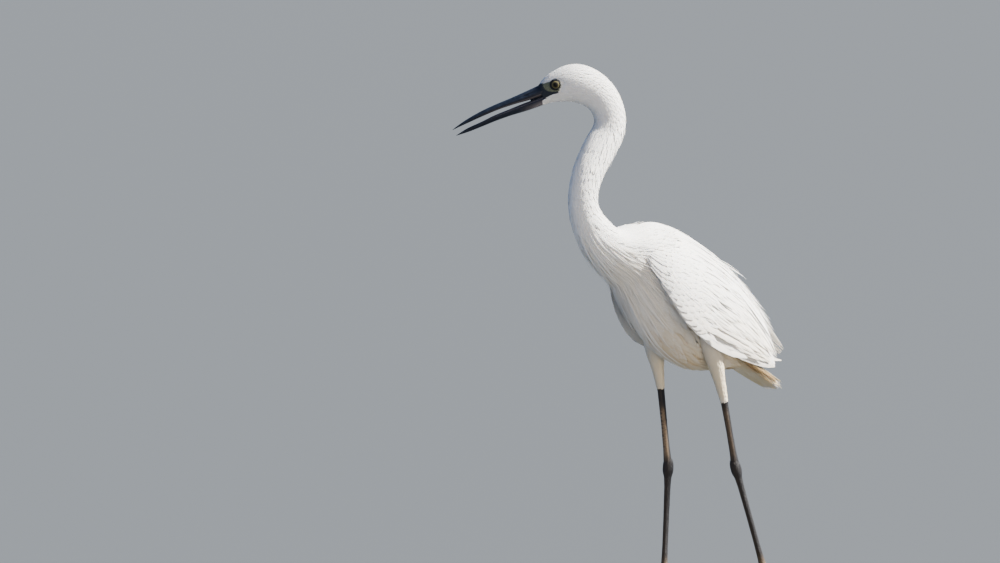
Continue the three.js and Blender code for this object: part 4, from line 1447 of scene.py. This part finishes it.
@dataclass
class Wings(Part):
    """Both wings: flights, tiers of coverts, scapulars and loose plumes."""

    tiers: tuple[Tier, ...] = (
        Tier(22, (0.42, 0.45), (1.0, 0.93), (0.0, 0.74), (-4.5, -0.9), 1.0, QUILL, 0.3),
        Tier(18, (0.22, 0.26), (0.74, 0.62), (0.0, 0.8), (-3.0, 0.5), 1.05, COVERT, 0.25),
        Tier(18, (0.12, 0.16), (0.54, 0.44), (0.0, 0.88), (-2.0, 1.6), 1.05, COVERT, 0.2),
        *(small_tier(k) for k in range(9)),
        Tier(10, (0.2, 0.18), (0.86, 0.99), (0.66, 0.97), (0.5, 1.8), 1.25, QUILL, 0.2),
    )
    plumes: int = 300
    wisps: int = 40
    plume_heights: tuple = ((0.3, 0.5, 0.75, 1), (2.5, 2.2, 1.3, 0.1))

    def tier(self, shell: Shell, wing: Wing, tier: Tier) -> None:
        """Adds one tier of feathers.

        Args:
            shell: The mesh that is added to.
            wing: The wing's surface.
            tier: The tier.
        """
        rng, count = self.site.rng, tier.count
        share = np.linspace(0, 1, count)
        breadth = tier.across[1] - tier.across[0]
        spacing = breadth / max(count - 1, 1)
        v = tier.across[0] + breadth * share + rng.normal(0, 0.06, count) * spacing
        u0 = tier.root[0] + (tier.root[1] - tier.root[0]) * share
        uneven = rng.normal(0, tier.uneven, count)
        u1 = np.clip(tier.tip[0] + (tier.tip[1] - tier.tip[0]) * share + uneven, 0, 1)
        middle = (u0 + u1) / 2
        apart = wing.point(middle, v + spacing) - wing.point(middle, v - spacing)
        span = np.linalg.norm(apart, axis=1) / 2
        low, high = (np.full(count, lift) for lift in tier.lift)
        feathers(shell, wing, pairs(u0, v), pairs(u1, v), span * tier.wide, low, high, tier.cut,
                 patch(u0, np.clip(v, 0, 1)), rng.uniform(0.1, 1, count), warmth(wing.point(u0, v)) * 0.5,
                 tilt=-tier.tilt * wing.out, bend=0.7)

    def loose(self, shell: Shell, wing: Wing) -> None:
        """Adds narrow plumes that lie over the wing, and wisps that stand off its upper edge.

        Args:
            shell: The mesh that is added to.
            wing: The wing's surface.
        """
        rng, count = self.site.rng, self.plumes
        u, v = rng.uniform(0.1, 0.74, count), rng.uniform(0.03, 0.98, count)
        length = rng.uniform(0.12, 0.26, count) + 0.14 * (v > 0.6)
        end_u = np.minimum(u + length, 1.0)
        end = pairs(end_u, np.clip(v + rng.normal(0, 0.01, count), 0.01, 0.99))
        high = np.interp(end_u, *self.plume_heights) + 0.9 * (v > 0.68)
        feathers(shell, wing, pairs(u, v), end, rng.uniform(1.6, 3.0, count), high - 2.3,
                 high + rng.uniform(-0.3, 0.3, count), LANCE, patch(u, v), rng.uniform(0.2, 1, count),
                 warmth(wing.point(u, v)) * 0.5, bend=0.35)
        count = self.wisps
        u, v = rng.uniform(0.5, 0.74, count), rng.uniform(0.8, 0.99, count)
        end = pairs(u + rng.uniform(0.14, 0.2, count), v + rng.normal(0, 0.02, count))
        feathers(shell, wing, pairs(u, v), end, rng.uniform(0.2, 0.4, count), np.full(count, 1.0),
                 rng.uniform(2.5, 8, count), LANCE, patch(u, v), rng.uniform(0.2, 1, count),
                 np.zeros(count), bend=1.6, sway=rng.normal(0, 2.5, count))

    def build(self) -> None:
        """Makes both wings."""
        for side in Side:
            wing = Wing(side)
            shell = Shell()
            for tier in self.tiers:
                self.tier(shell, wing, tier)
            self.site.put(shell, f"wing_feathers_{side.word}", self.site.plumage, "plumage",
                          f"wing_{side.word}")
            shell = Shell()
            self.loose(shell, wing)
            self.site.put(shell, f"wing_plumes_{side.word}", self.site.plumage, "plumage")


@dataclass
class TailFan(Part):
    """The tail's feathers in a closed fan, with fluffy coverts under and over its root."""

    pairs_of_quills: int = 6
    quill_half: float = 6.2
    coverts: int = 1500
    strands: int = 70

    def quills(self, shell: Shell, tail: Tail) -> None:
        """Adds the long feathers, in pairs from the middle outwards.

        Args:
            shell: The mesh that is added to.
            tail: The tail's surface.
        """
        for pair in range(self.pairs_of_quills):
            share = pair / (self.pairs_of_quills - 1)
            for out in (1, -1):
                start = np.array([[0.05, out * (0.5 + share * 5)]])
                end = np.array([[0.95 - 0.08 * share ** 2, out * (0.5 + share * 9.5)]])
                lift = np.array([2.2 - 0.55 * (pair + (0 if out > 0 else 0.5))])
                # The quills are buff all over, part real stain and part painted warm shade.
                feathers(shell, tail, start, end, np.array([self.quill_half]), lift, lift, QUILL,
                         np.array([[0.5 + 0.04 * out * pair, 0.5]]), self.site.rng.uniform(0.2, 1, 1),
                         np.array([0.85]), bend=1)

    def fluff(self, shell: Shell, tail: Tail) -> None:
        """Adds the coverts, most of them under the tail.

        Args:
            shell: The mesh that is added to.
            tail: The tail's surface.
        """
        rng, count = self.site.rng, self.coverts
        under = rng.uniform(0, 1, count) < 0.75
        u = rng.uniform(-0.4, 0.58, count)
        v = rng.uniform(-14, 14, count) * (1 - 0.25 * np.clip(u, 0, 1))
        edge = np.sqrt(np.clip(1 - (v / 15) ** 2, 0, 1))
        full = 1 - 0.75 * np.clip(u, 0, 1) ** 1.5
        thick = np.where(under, -10.5 * edge * full, 4 * edge)
        end = pairs(np.minimum(u + rng.uniform(0.25, 0.42, count), 0.97), v * 0.85)
        # Coverts under the tail are buffer than those over it: part real stain, part painted warm shade of
        # the underside.
        feathers(shell, tail, pairs(u, v), end, rng.uniform(1.4, 2.6, count), thick * 0.8,
                 np.where(under, thick * 0.55 - 1.8, 2.8), CONTOUR,
                 pairs(0.02 + 0.96 * (v + 12) / 24, 0.2 + 0.5 * u), rng.uniform(0, 1, count),
                 np.where(under, 0.95, 0.4) * rng.uniform(0.7, 1.3, count), bend=0.8)

    def loose(self, shell: Shell, tail: Tail) -> None:
        """Adds thin strands that soften the tip.

        Args:
            shell: The mesh that is added to.
            tail: The tail's surface.
        """
        rng, count = self.site.rng, self.strands
        v = rng.uniform(-13, 13, count)
        u = rng.uniform(0.45, 0.7, count)
        end = pairs(rng.uniform(0.86, 0.98, count), v * rng.uniform(0.9, 1.15, count))
        # The strands are a little buff, part real stain and part painted warm shade.
        feathers(shell, tail, pairs(u, v), end, rng.uniform(0.3, 0.8, count), rng.uniform(-3, 1, count),
                 rng.uniform(-3, 2, count), LANCE, pairs(0.02 + 0.96 * (v + 14) / 28, 0.2 + 0.5 * u),
                 rng.uniform(0, 1, count), rng.uniform(0.2, 0.7, count), sway=rng.normal(0, 1, count))

    def build(self) -> None:
        """Makes the tail."""
        tail, shell = Tail(), Shell()
        self.quills(shell, tail)
        self.fluff(shell, tail)
        self.loose(shell, tail)
        self.site.put(shell, "tail_feathers", self.site.plumage, "plumage", "tail")


class Mandible(Surface):
    """A mandible: u is the distance along it, v the angle from its top to its left."""

    def __init__(self, rows: Array, flat: int) -> None:
        """Takes its rows, and 1 for the upper or -1 for the lower."""
        t = np.linspace(0, 1, 150)
        self.edge, self.half = catmull(rows[:, :3], t), catmull(rows[:, [3, 0]], t)[:, 0]
        self.flat = flat

    def sizes(self, u: Array) -> tuple[Array, ...]:
        """Its upper edge, lower edge and half width at u."""
        rows = (self.edge[:, 1], self.edge[:, 2], self.half)
        return tuple(np.interp(u, self.edge[:, 0], row) for row in rows)

    def across(self, wide: Array, v: Array, h: Array | float = 0.0) -> Array:
        """How far to its left the surface is, at a half width and an angle."""
        beside = wide * (1 - MANDIBLE_LEAN * np.cos(v) * self.flat) + h
        return beside * np.sign(np.sin(v)) * np.abs(np.sin(v)) ** MANDIBLE_SQUARE

    def point(self, u: Array, v: Array, h: Array | float = 0.0) -> Array:
        """Points of the surface, as in Surface.point."""
        u, v, h = np.broadcast_arrays(u, v, h)
        root, ahead, above, left = bill_axes()
        top, low, wide = self.sizes(u)
        up = (top + low) / 2 + ((top - low) / 2 + h) * np.cos(v)
        out = self.across(wide, v, h)
        return root + ahead * u[..., None] + above * up[..., None] + left * out[..., None]


@dataclass
class Bill(Part):
    """Both mandibles, the skin that joins them and the feathers of the chin."""

    sides: int = 64
    gape_reach: float = 11
    chin_count: int = 420
    chin_reach: float = 3.4

    def mandible(self, name: str, shape: Mandible) -> Shell:
        """One mandible's mesh.

        Args:
            name: Which one: upper or lower.
            shape: Its surface.

        Returns:
            The mesh, with the attribute pale.
        """
        root, ahead, above, left = bill_axes()
        edge, flat = shape.edge, shape.flat
        angle = np.arange(self.sides) / self.sides * TURN
        c = np.cos(angle)
        middle, tall = (edge[:, 1] + edge[:, 2]) / 2, (edge[:, 1] - edge[:, 2]) / 2
        beside = shape.across(shape.half[:, None], angle)
        height = middle[:, None] + tall[:, None] * c
        along = edge[:, :1] * np.ones((1, self.sides))
        level = np.concatenate([along[:1], along, along[-1:]])
        if name == "upper":
            groove = np.exp(-((height - middle[:, None] - tall[:, None] * 0.28) / 0.55) ** 2)
            groove = groove * smooth(along, 2, 8) * (1 - smooth(along, 30, 52))
            slit = np.exp(-((along - 13) / 2.6) ** 2) * groove
            beside = beside * (1 - 0.09 * groove - 0.12 * slit)
            pale = 0.03 * (1 - smooth(level, 0, 24))
        else:
            pale = 0.9 * (1 - smooth(level, 3, 26)) * smooth(-c, -0.6, 0.7)[None]
        grid = root + ahead * along[..., None] + above * height[..., None] + left * beside[..., None]
        inner = (c * flat < -0.55)[None] * np.ones_like(level)
        pale = np.maximum(pale, 0.5 * inner * (1 - smooth(level, 30, 70)))
        shell = Shell()
        shell.add(*closed(drawn(grid)), pale=pale.ravel())
        return shell

    def gape(self, upper: Mandible, lower: Mandible) -> None:
        """Makes the dark skin that joins the mandibles at the corners of the mouth.

        Args:
            upper: The upper mandible.
            lower: The lower mandible.
        """
        root, ahead, above, left = bill_axes()
        u = np.linspace(-1, self.gape_reach, 30)
        (_, roof, wide), (floor, _, _) = upper.sizes(u), lower.sizes(u)
        half = wide * np.interp(u, [-1, 7, 11], [0.8, 0.8, 0.4])
        tall = np.maximum(roof - floor, 0) / 2 + 0.6
        angle = np.arange(24) / 24 * TURN
        height = ((roof + floor) / 2)[:, None] + tall[:, None] * np.cos(angle)
        points, quads = closed(root + ahead * u[:, None, None] + above * height[..., None]
                               + left * (half[:, None] * np.sin(angle))[..., None])
        shell = Shell()
        shell.add(points, quads, pale=np.zeros(len(points)))
        self.site.put(shell, "gape_skin", self.site.paint.horn(BILL), "bill")

    def chin(self, lower: Mandible) -> None:
        """Makes short feathers that hide the end of the lower mandible under the gape.

        Args:
            lower: The lower mandible.
        """
        rng, count = self.site.rng, self.chin_count
        v = np.pi + rng.uniform(-1, 1, count) * 1.75
        reach = self.chin_reach - 1.2 * smooth(np.abs(v - np.pi), 0.9, 1.7)
        u = rng.uniform(-0.9, 1, count) * reach
        shell = Shell()
        # A touch of buff, part real stain and part painted warm shade.
        feathers(shell, lower, pairs(u, v), pairs(u - 2.6, v), rng.uniform(0.35, 0.6, count),
                 np.full(count, -0.15), rng.uniform(0.15, 0.3, count), TUFT,
                 pairs(0.02 + 0.96 * v / TURN, 0.97), rng.uniform(0, 1, count), np.full(count, 0.1))
        self.site.put(shell, "chin_feathers", self.site.small, "plumage")

    def build(self) -> None:
        """Makes the bill."""
        upper, lower = Mandible(UPPER_BILL, 1), Mandible(LOWER_BILL, -1)
        self.site.put(self.mandible("upper", upper), "mandible_upper", self.site.paint.horn(BILL), "bill",
                      "bill_upper")
        self.chin(lower)
        self.site.put(self.mandible("lower", lower), "mandible_lower", self.site.paint.horn(BILL),
                      "bill_base", "bill_lower")
        self.gape(upper, lower)


@dataclass
class Eyes(Part):
    """Eyeballs with a ringed iris, each in a rim of dark lids.

    Attributes:
        rims: Radius of each rim, radius of its tube, and how far it stands out from the eye's middle.
        sides: Points round a rim, and round its tube.
    """

    rims: tuple = ((3.75, 0.5, 3.75), (4.65, 0.4, 3.2))
    sides: tuple[int, int] = (72, 12)

    def ball(self, side: Side, axes: tuple[Array, Array, Array]) -> None:
        """Makes one eyeball; axes are its directions out, ahead and up.

        Args:
            side: The side of the bird.
            axes: The eye's directions out, ahead and up.
        """
        axis, ahead, back = axes
        theta = np.linspace(0.02, np.pi - 0.02, 33)[:, None, None]
        angle = (np.arange(64) / 64 * TURN)[None, :, None]
        ring = np.cos(angle) * ahead + np.sin(angle) * back
        centre, shell = eye_centre(side), Shell()
        shell.add(*closed(centre + EYE_RADIUS * (np.cos(theta) * axis + np.sin(theta) * ring)))
        material = self.site.paint.eye(EYE, (centre - self.site.shift) / 1000, axis)
        self.site.put(shell, f"eyeball_{side.word}", material, "eye", f"eye_{side.word}")

    def lid(self, side: Side, axes: tuple[Array, Array, Array]) -> None:
        """Makes the lids round one eye, a little oval and drawn out to a corner in front.

        Args:
            side: The side of the bird.
            axes: The eye's directions out, ahead and up.
        """
        axis, ahead, back = axes
        around, across = self.sides
        angle, turn = np.arange(around) / around * TURN, np.arange(across) / across * TURN
        i, j = np.meshgrid(np.arange(around), np.arange(across), indexing="ij")
        after, beside = (i + 1) % around, (j + 1) % across
        corners = (i * across + j, i * across + beside, after * across + beside, after * across + j)
        quads = np.stack(corners, axis=-1).reshape(-1, 4)
        way = np.cos(angle)[:, None] * ahead + np.sin(angle)[:, None] * back
        shell = Shell()
        for radius, tube, out in self.rims:
            oval = radius * (1 + 0.05 * np.maximum(np.cos(angle), 0) ** 4)
            middle = eye_centre(side) + axis * out + way * oval[:, None]
            grid = (middle[:, None] + way[:, None] * (tube * np.cos(turn))[None, :, None]
                    + axis * (tube * np.sin(turn))[None, :, None])
            points = grid.reshape(-1, 3)
            shell.add(points, outward(points, quads), pale=np.zeros(len(points)))
        self.site.put(shell, f"lid_{side.word}", self.site.paint.horn(LID), "leg")

    def build(self) -> None:
        """Makes both eyes."""
        _, left, back, ahead = (np.array(p) for p in BODY.frame(np.array(float(EYE_STATION))))
        for side in Side:
            axes = (left * side.value, ahead, back)
            self.ball(side, axes)
            self.lid(side, axes)


@dataclass
class Feet(Part):
    """Bare shins, heels, shanks and toes, with plates down their fronts and horn claws.

    Attributes:
        plate: Length and height of a plate on the leg, in millimetres.
        plate_rows: For the front and the rear: half turns round the leg and a plate's width.
        plate_counts: Plates in a row on the shank and on the shin.
        toe_plate: Length and height of a plate on a toe.
        toe_girths: A toe's radius along it, as shares of the radius at its root.
        claw_radii: A claw's radius along it.
    """

    plate: tuple[float, float] = (3.7, 0.9)
    plate_rows: tuple = (("front", 1.5, 3.2), ("rear", 0.5, 2.2))
    plate_counts: tuple[int, int] = (34, 18)
    toe_plate: tuple[float, float] = (2.9, 0.8)
    toe_girths: tuple = (0.95, 1, 0.82, 0.98, 0.74, 0.84, 0.6)
    claw_radii: tuple = (1.5, 1.3, 0.9, 0.3)

    def bare(self, name: str, limb: Limb, material: bpy.types.Material, node: str, rear_highlight: float) -> None:
        """A bare length of leg, black, with a painted highlight in tan on its rear, where the key light
        falls.

        Args:
            name: The piece's name.
            limb: Its surface.
            material: Its material.
            node: The solid that it stands for.
            rear_highlight: How strong the painted highlight on its rear is above the heel, from 0 to 1.
        """
        sides = 36
        points, quads = loft(limb, np.linspace(0, 1, 140), sides)
        rear = np.sin(np.tile(np.arange(sides) / sides * TURN, 142))
        z = points[:, 2]
        # Painted highlight in the skin's brown on the rear, where the key light falls: strong above the
        # heel, faint all along. It is also paler towards the foot.
        pale = smooth(rear, -0.2, 0.6) * smooth(z, 104, 118) * (1 - smooth(z, 148, 158)) * rear_highlight
        pale = pale + smooth(rear, 0.2, 0.9) * 0.1 + (1 - smooth(z, 8, 26)) * 0.6
        shell = Shell()
        shell.add(points, quads, pale=np.clip(pale, 0, 1))
        self.site.put(shell, name, material, "leg", node)

    def set_plates(self, group: bpy.types.NodeTree, name: str, line: Array, facing: Array, count: int,
                   size: tuple[float, float, float], material: bpy.types.Material, slot: str) -> None:
        """Makes one row of plates; the rest is what plates() takes."""
        log.info("%s: %d plates", name, count)
        plates(group, name, line, facing, count, size, material, self.site.shift)

    def leg(self, side: Side, leg: Leg, group: bpy.types.NodeTree, material: bpy.types.Material) -> None:
        """Makes one leg's bare skin and its plates.

        Args:
            side: The side of the bird.
            leg: That side's leg.
            group: The geometry nodes that set the plates.
            material: The material.
        """
        tuft, heel, foot = (np.array(p, dtype=float) for p in (leg.tuft, leg.heel, leg.foot))
        way, down = unit(heel - tuft), unit(foot - heel)
        shank = Limb([heel - down * KNOB_ABOVE, foot], TARSUS_RADII)
        skin = Limb([tuft - way * 3, heel - way * 1.5], SHIN_RADII)
        # The painted highlight is strongest on the far leg's shin, whose lit rear the camera sees.
        self.bare(f"shin_skin_{side.word}", skin, material, f"shin_{side.word}",
                  0.9 if side is Side.RIGHT else 0.3)
        self.bare(f"shank_skin_{side.word}", shank, material, f"tarsus_{side.word}", 0.3)
        t = np.linspace(0.17, 0.98, 30)
        limbs = {"shank": shank, "shin": Limb([tuft, heel], SHIN_RADII)}
        for (name, limb), count in zip(limbs.items(), self.plate_counts):
            for tag, turns, width in self.plate_rows:
                angle = np.full(30, turns * np.pi)
                self.set_plates(group, f"{name}_plates_{tag}_{side.word}", limb.point(t, angle, -0.35),
                                limb.normal(t, angle), count, (self.plate[0], width, self.plate[1]),
                                material, "leg")

    def toe(self, side: Side, leg: Leg, toe: Toe, group: bpy.types.NodeTree,
            materials: tuple[bpy.types.Material, bpy.types.Material]) -> None:
        """One toe with its plates and claw, flat under the sole.

        Args:
            side: The foot's side.
            leg: Its leg.
            toe: The toe.
            group: The geometry nodes that set the plates.
            materials: Those of the skin and of the claw.
        """
        turn = math.radians((leg.toe_turn + toe.turn) * side.value)
        way = np.array([math.sin(turn), -math.cos(turn), 0.0])
        foot, r, tag = np.array(leg.foot, dtype=float), toe.radius, f"{toe.name}_{side.word}"
        start, landed, end = foot + way, foot + way * toe.length * 0.45, foot + way * toe.length
        start[2] = max(foot[2] - 2, r)
        landed[2], end[2] = r - SOLE_CUT, r * 0.75 - SOLE_CUT
        limb = Limb([start, (start + landed) / 2, landed, end], tuple(r * g for g in self.toe_girths))
        self.flat_loft(limb, (70, 28), 0.0, 0.4, f"toe_skin_{tag}", materials[0], "toe", f"toe_{tag}")
        t, up = np.linspace(0.05, 0.96, 24), np.array([0, 0, 1.0])
        line = catmull(limb.points, t) + up * (limb.radius(t)[:, None] - 0.35)
        self.set_plates(group, f"toe_plates_{tag}", line, np.tile(up, (24, 1)), int(toe.length / 2.1),
                        (self.toe_plate[0], r * 1.25, self.toe_plate[1]), materials[0], "toe")
        tip = end + way * 0.2
        reach = way * CLAW_LENGTH
        claw = Limb([[*tip[:2], 2.2], [*(tip + reach * 0.5)[:2], 2.6], [*(tip + reach)[:2], 0.6]],
                    self.claw_radii)
        self.flat_loft(claw, (24, 20), 0.05, 0.2, f"claw_horn_{tag}", materials[1], "claw", f"claw_{tag}")

    def flat_loft(self, limb: Limb, cells: tuple[int, int], floor: float, pale: float, name: str,
                  material: bpy.types.Material, slot: str, node: str) -> None:
        """A limb cut flat at the floor.

        Args:
            limb: Its surface.
            cells: Points along and round it.
            floor: The height at which it is cut.
            pale: Its value of the attribute pale.
            name: The piece's name.
            material: Its material.
            slot: The record's slot that it belongs to.
            node: The solid that it stands for.
        """
        points, quads = loft(limb, np.linspace(0, 1, cells[0]), cells[1])
        points[:, 2] = np.maximum(points[:, 2], floor)
        shell = Shell()
        shell.add(points, quads, pale=np.full(len(points), pale))
        self.site.put(shell, name, material, slot, node)

    def build(self) -> None:
        """Makes both legs and feet."""
        group, paint = plate_group(), self.site.paint
        skin, toes, horn = paint.scaled(LEG), paint.scaled(TOE), paint.horn(CLAW)
        for side, leg in LEGS.items():
            self.leg(side, leg, group, skin)
            for toe in TOES:
                self.toe(side, leg, toe, group, (toes, horn))


# Stage


@dataclass(frozen=True)
class Lamp:
    """A soft light: where it shines from in the camera's directions, its size, power and colour."""

    name: str
    kind: str
    right: float
    up: float
    nearer: float
    size: float
    power: float
    colour: tuple[float, float, float]


LAMPS = (
    Lamp("key", "SUN", 2.6, 2.4, 0.12, math.radians(9), 25, (1.0, 0.955, 0.87)),
    Lamp("fill", "AREA", -2.2, 1.0, 3.0, 3.0, 10, (0.46, 0.66, 1.0)),
    Lamp("bounce", "AREA", 0.6, -0.18, 1.6, 1.6, 26, (1.0, 0.82, 0.58)),
)


def view_axes() -> tuple[Array, Array, Array]:
    """The photograph's directions right, up and away from the camera.

    Returns:
        Three directions.
    """
    a, e = math.radians(VIEW_TURN), math.radians(VIEW_HEIGHT)
    right = np.array([math.cos(a), math.sin(a), 0.0])
    away = np.array([-math.sin(a), math.cos(a), 0.0])
    up = away * math.sin(e) + np.array([0, 0, math.cos(e)])
    look = away * math.cos(e) - np.array([0, 0, math.sin(e)])
    return right, up, look


def set_stage(shift: Array) -> None:
    """The floor, the lights and the camera.

    Args:
        shift: What is taken from every point, in millimetres.
    """
    right, up, look = view_axes()
    target = right * VIEW_RIGHT + up * VIEW_UP
    place = (target - look * CAMERA_REACH - shift) / 1000
    data = bpy.data.cameras.new("camera")
    data.sensor_width = 36
    data.lens = 36 * CAMERA_REACH / FRAME_WIDTH
    data.clip_end = 200
    camera = bpy.data.objects.new("camera", data)
    camera.location = Vector(place)
    camera.rotation_euler = Vector(look).to_track_quat("-Z", "Y").to_euler()
    bpy.context.scene.collection.objects.link(camera)
    bpy.context.scene.camera = camera

    bird = (np.array([0.0, 0, 260]) - shift) / 1000
    for lamp in LAMPS:
        light = bpy.data.lights.new(lamp.name, lamp.kind)
        if lamp.kind == "SUN":
            light.angle = lamp.size
        else:
            light.size = lamp.size
        light.energy = lamp.power
        light.color = lamp.colour
        made = bpy.data.objects.new(lamp.name, light)
        at = bird + right * lamp.right + np.array([0, 0, lamp.up]) - look * lamp.nearer
        made.location = Vector(at)
        made.rotation_euler = Vector(bird - at).to_track_quat("-Z", "Y").to_euler()
        bpy.context.scene.collection.objects.link(made)

    world = bpy.data.worlds.new("studio")
    world.use_nodes = True
    world.node_tree.nodes["Background"].inputs["Color"].default_value = (0.30, 0.50, 1.0, 1)
    world.node_tree.nodes["Background"].inputs["Strength"].default_value = 0.42
    bpy.context.scene.world = world

    mesh = bpy.data.meshes.new("floor")
    span = 45.0
    mesh.from_pydata([(-span, -span, 0), (span, -span, 0), (span, span, 0), (-span, span, 0)], [],
                     [(0, 1, 2, 3)])
    material = bpy.data.materials.new("floor")
    material.use_nodes = True
    shader = material.node_tree.nodes["Principled BSDF"]
    shader.inputs["Base Color"].default_value = (0.040, 0.048, 0.058, 1)
    shader.inputs["Roughness"].default_value = 0.9
    mesh.materials.append(material)
    floor = bpy.data.objects.new("floor", mesh)
    bpy.context.scene.collection.objects.link(floor)


def main() -> None:
    """Loads the frame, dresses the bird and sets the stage."""
    logging.basicConfig(level=logging.INFO, format="%(name)s: %(message)s")
    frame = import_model()
    log.info("%d solids", len(frame["nodes"]))
    site = Site()
    for part in (Flesh, Coat, Breast, Mantle, Thighs, Wings, TailFan, Bill, Eyes, Feet):
        part(site).build()
        log.info("%s done", part.__name__)
    set_stage(site.shift)


if __name__ == "__main__":
    main()
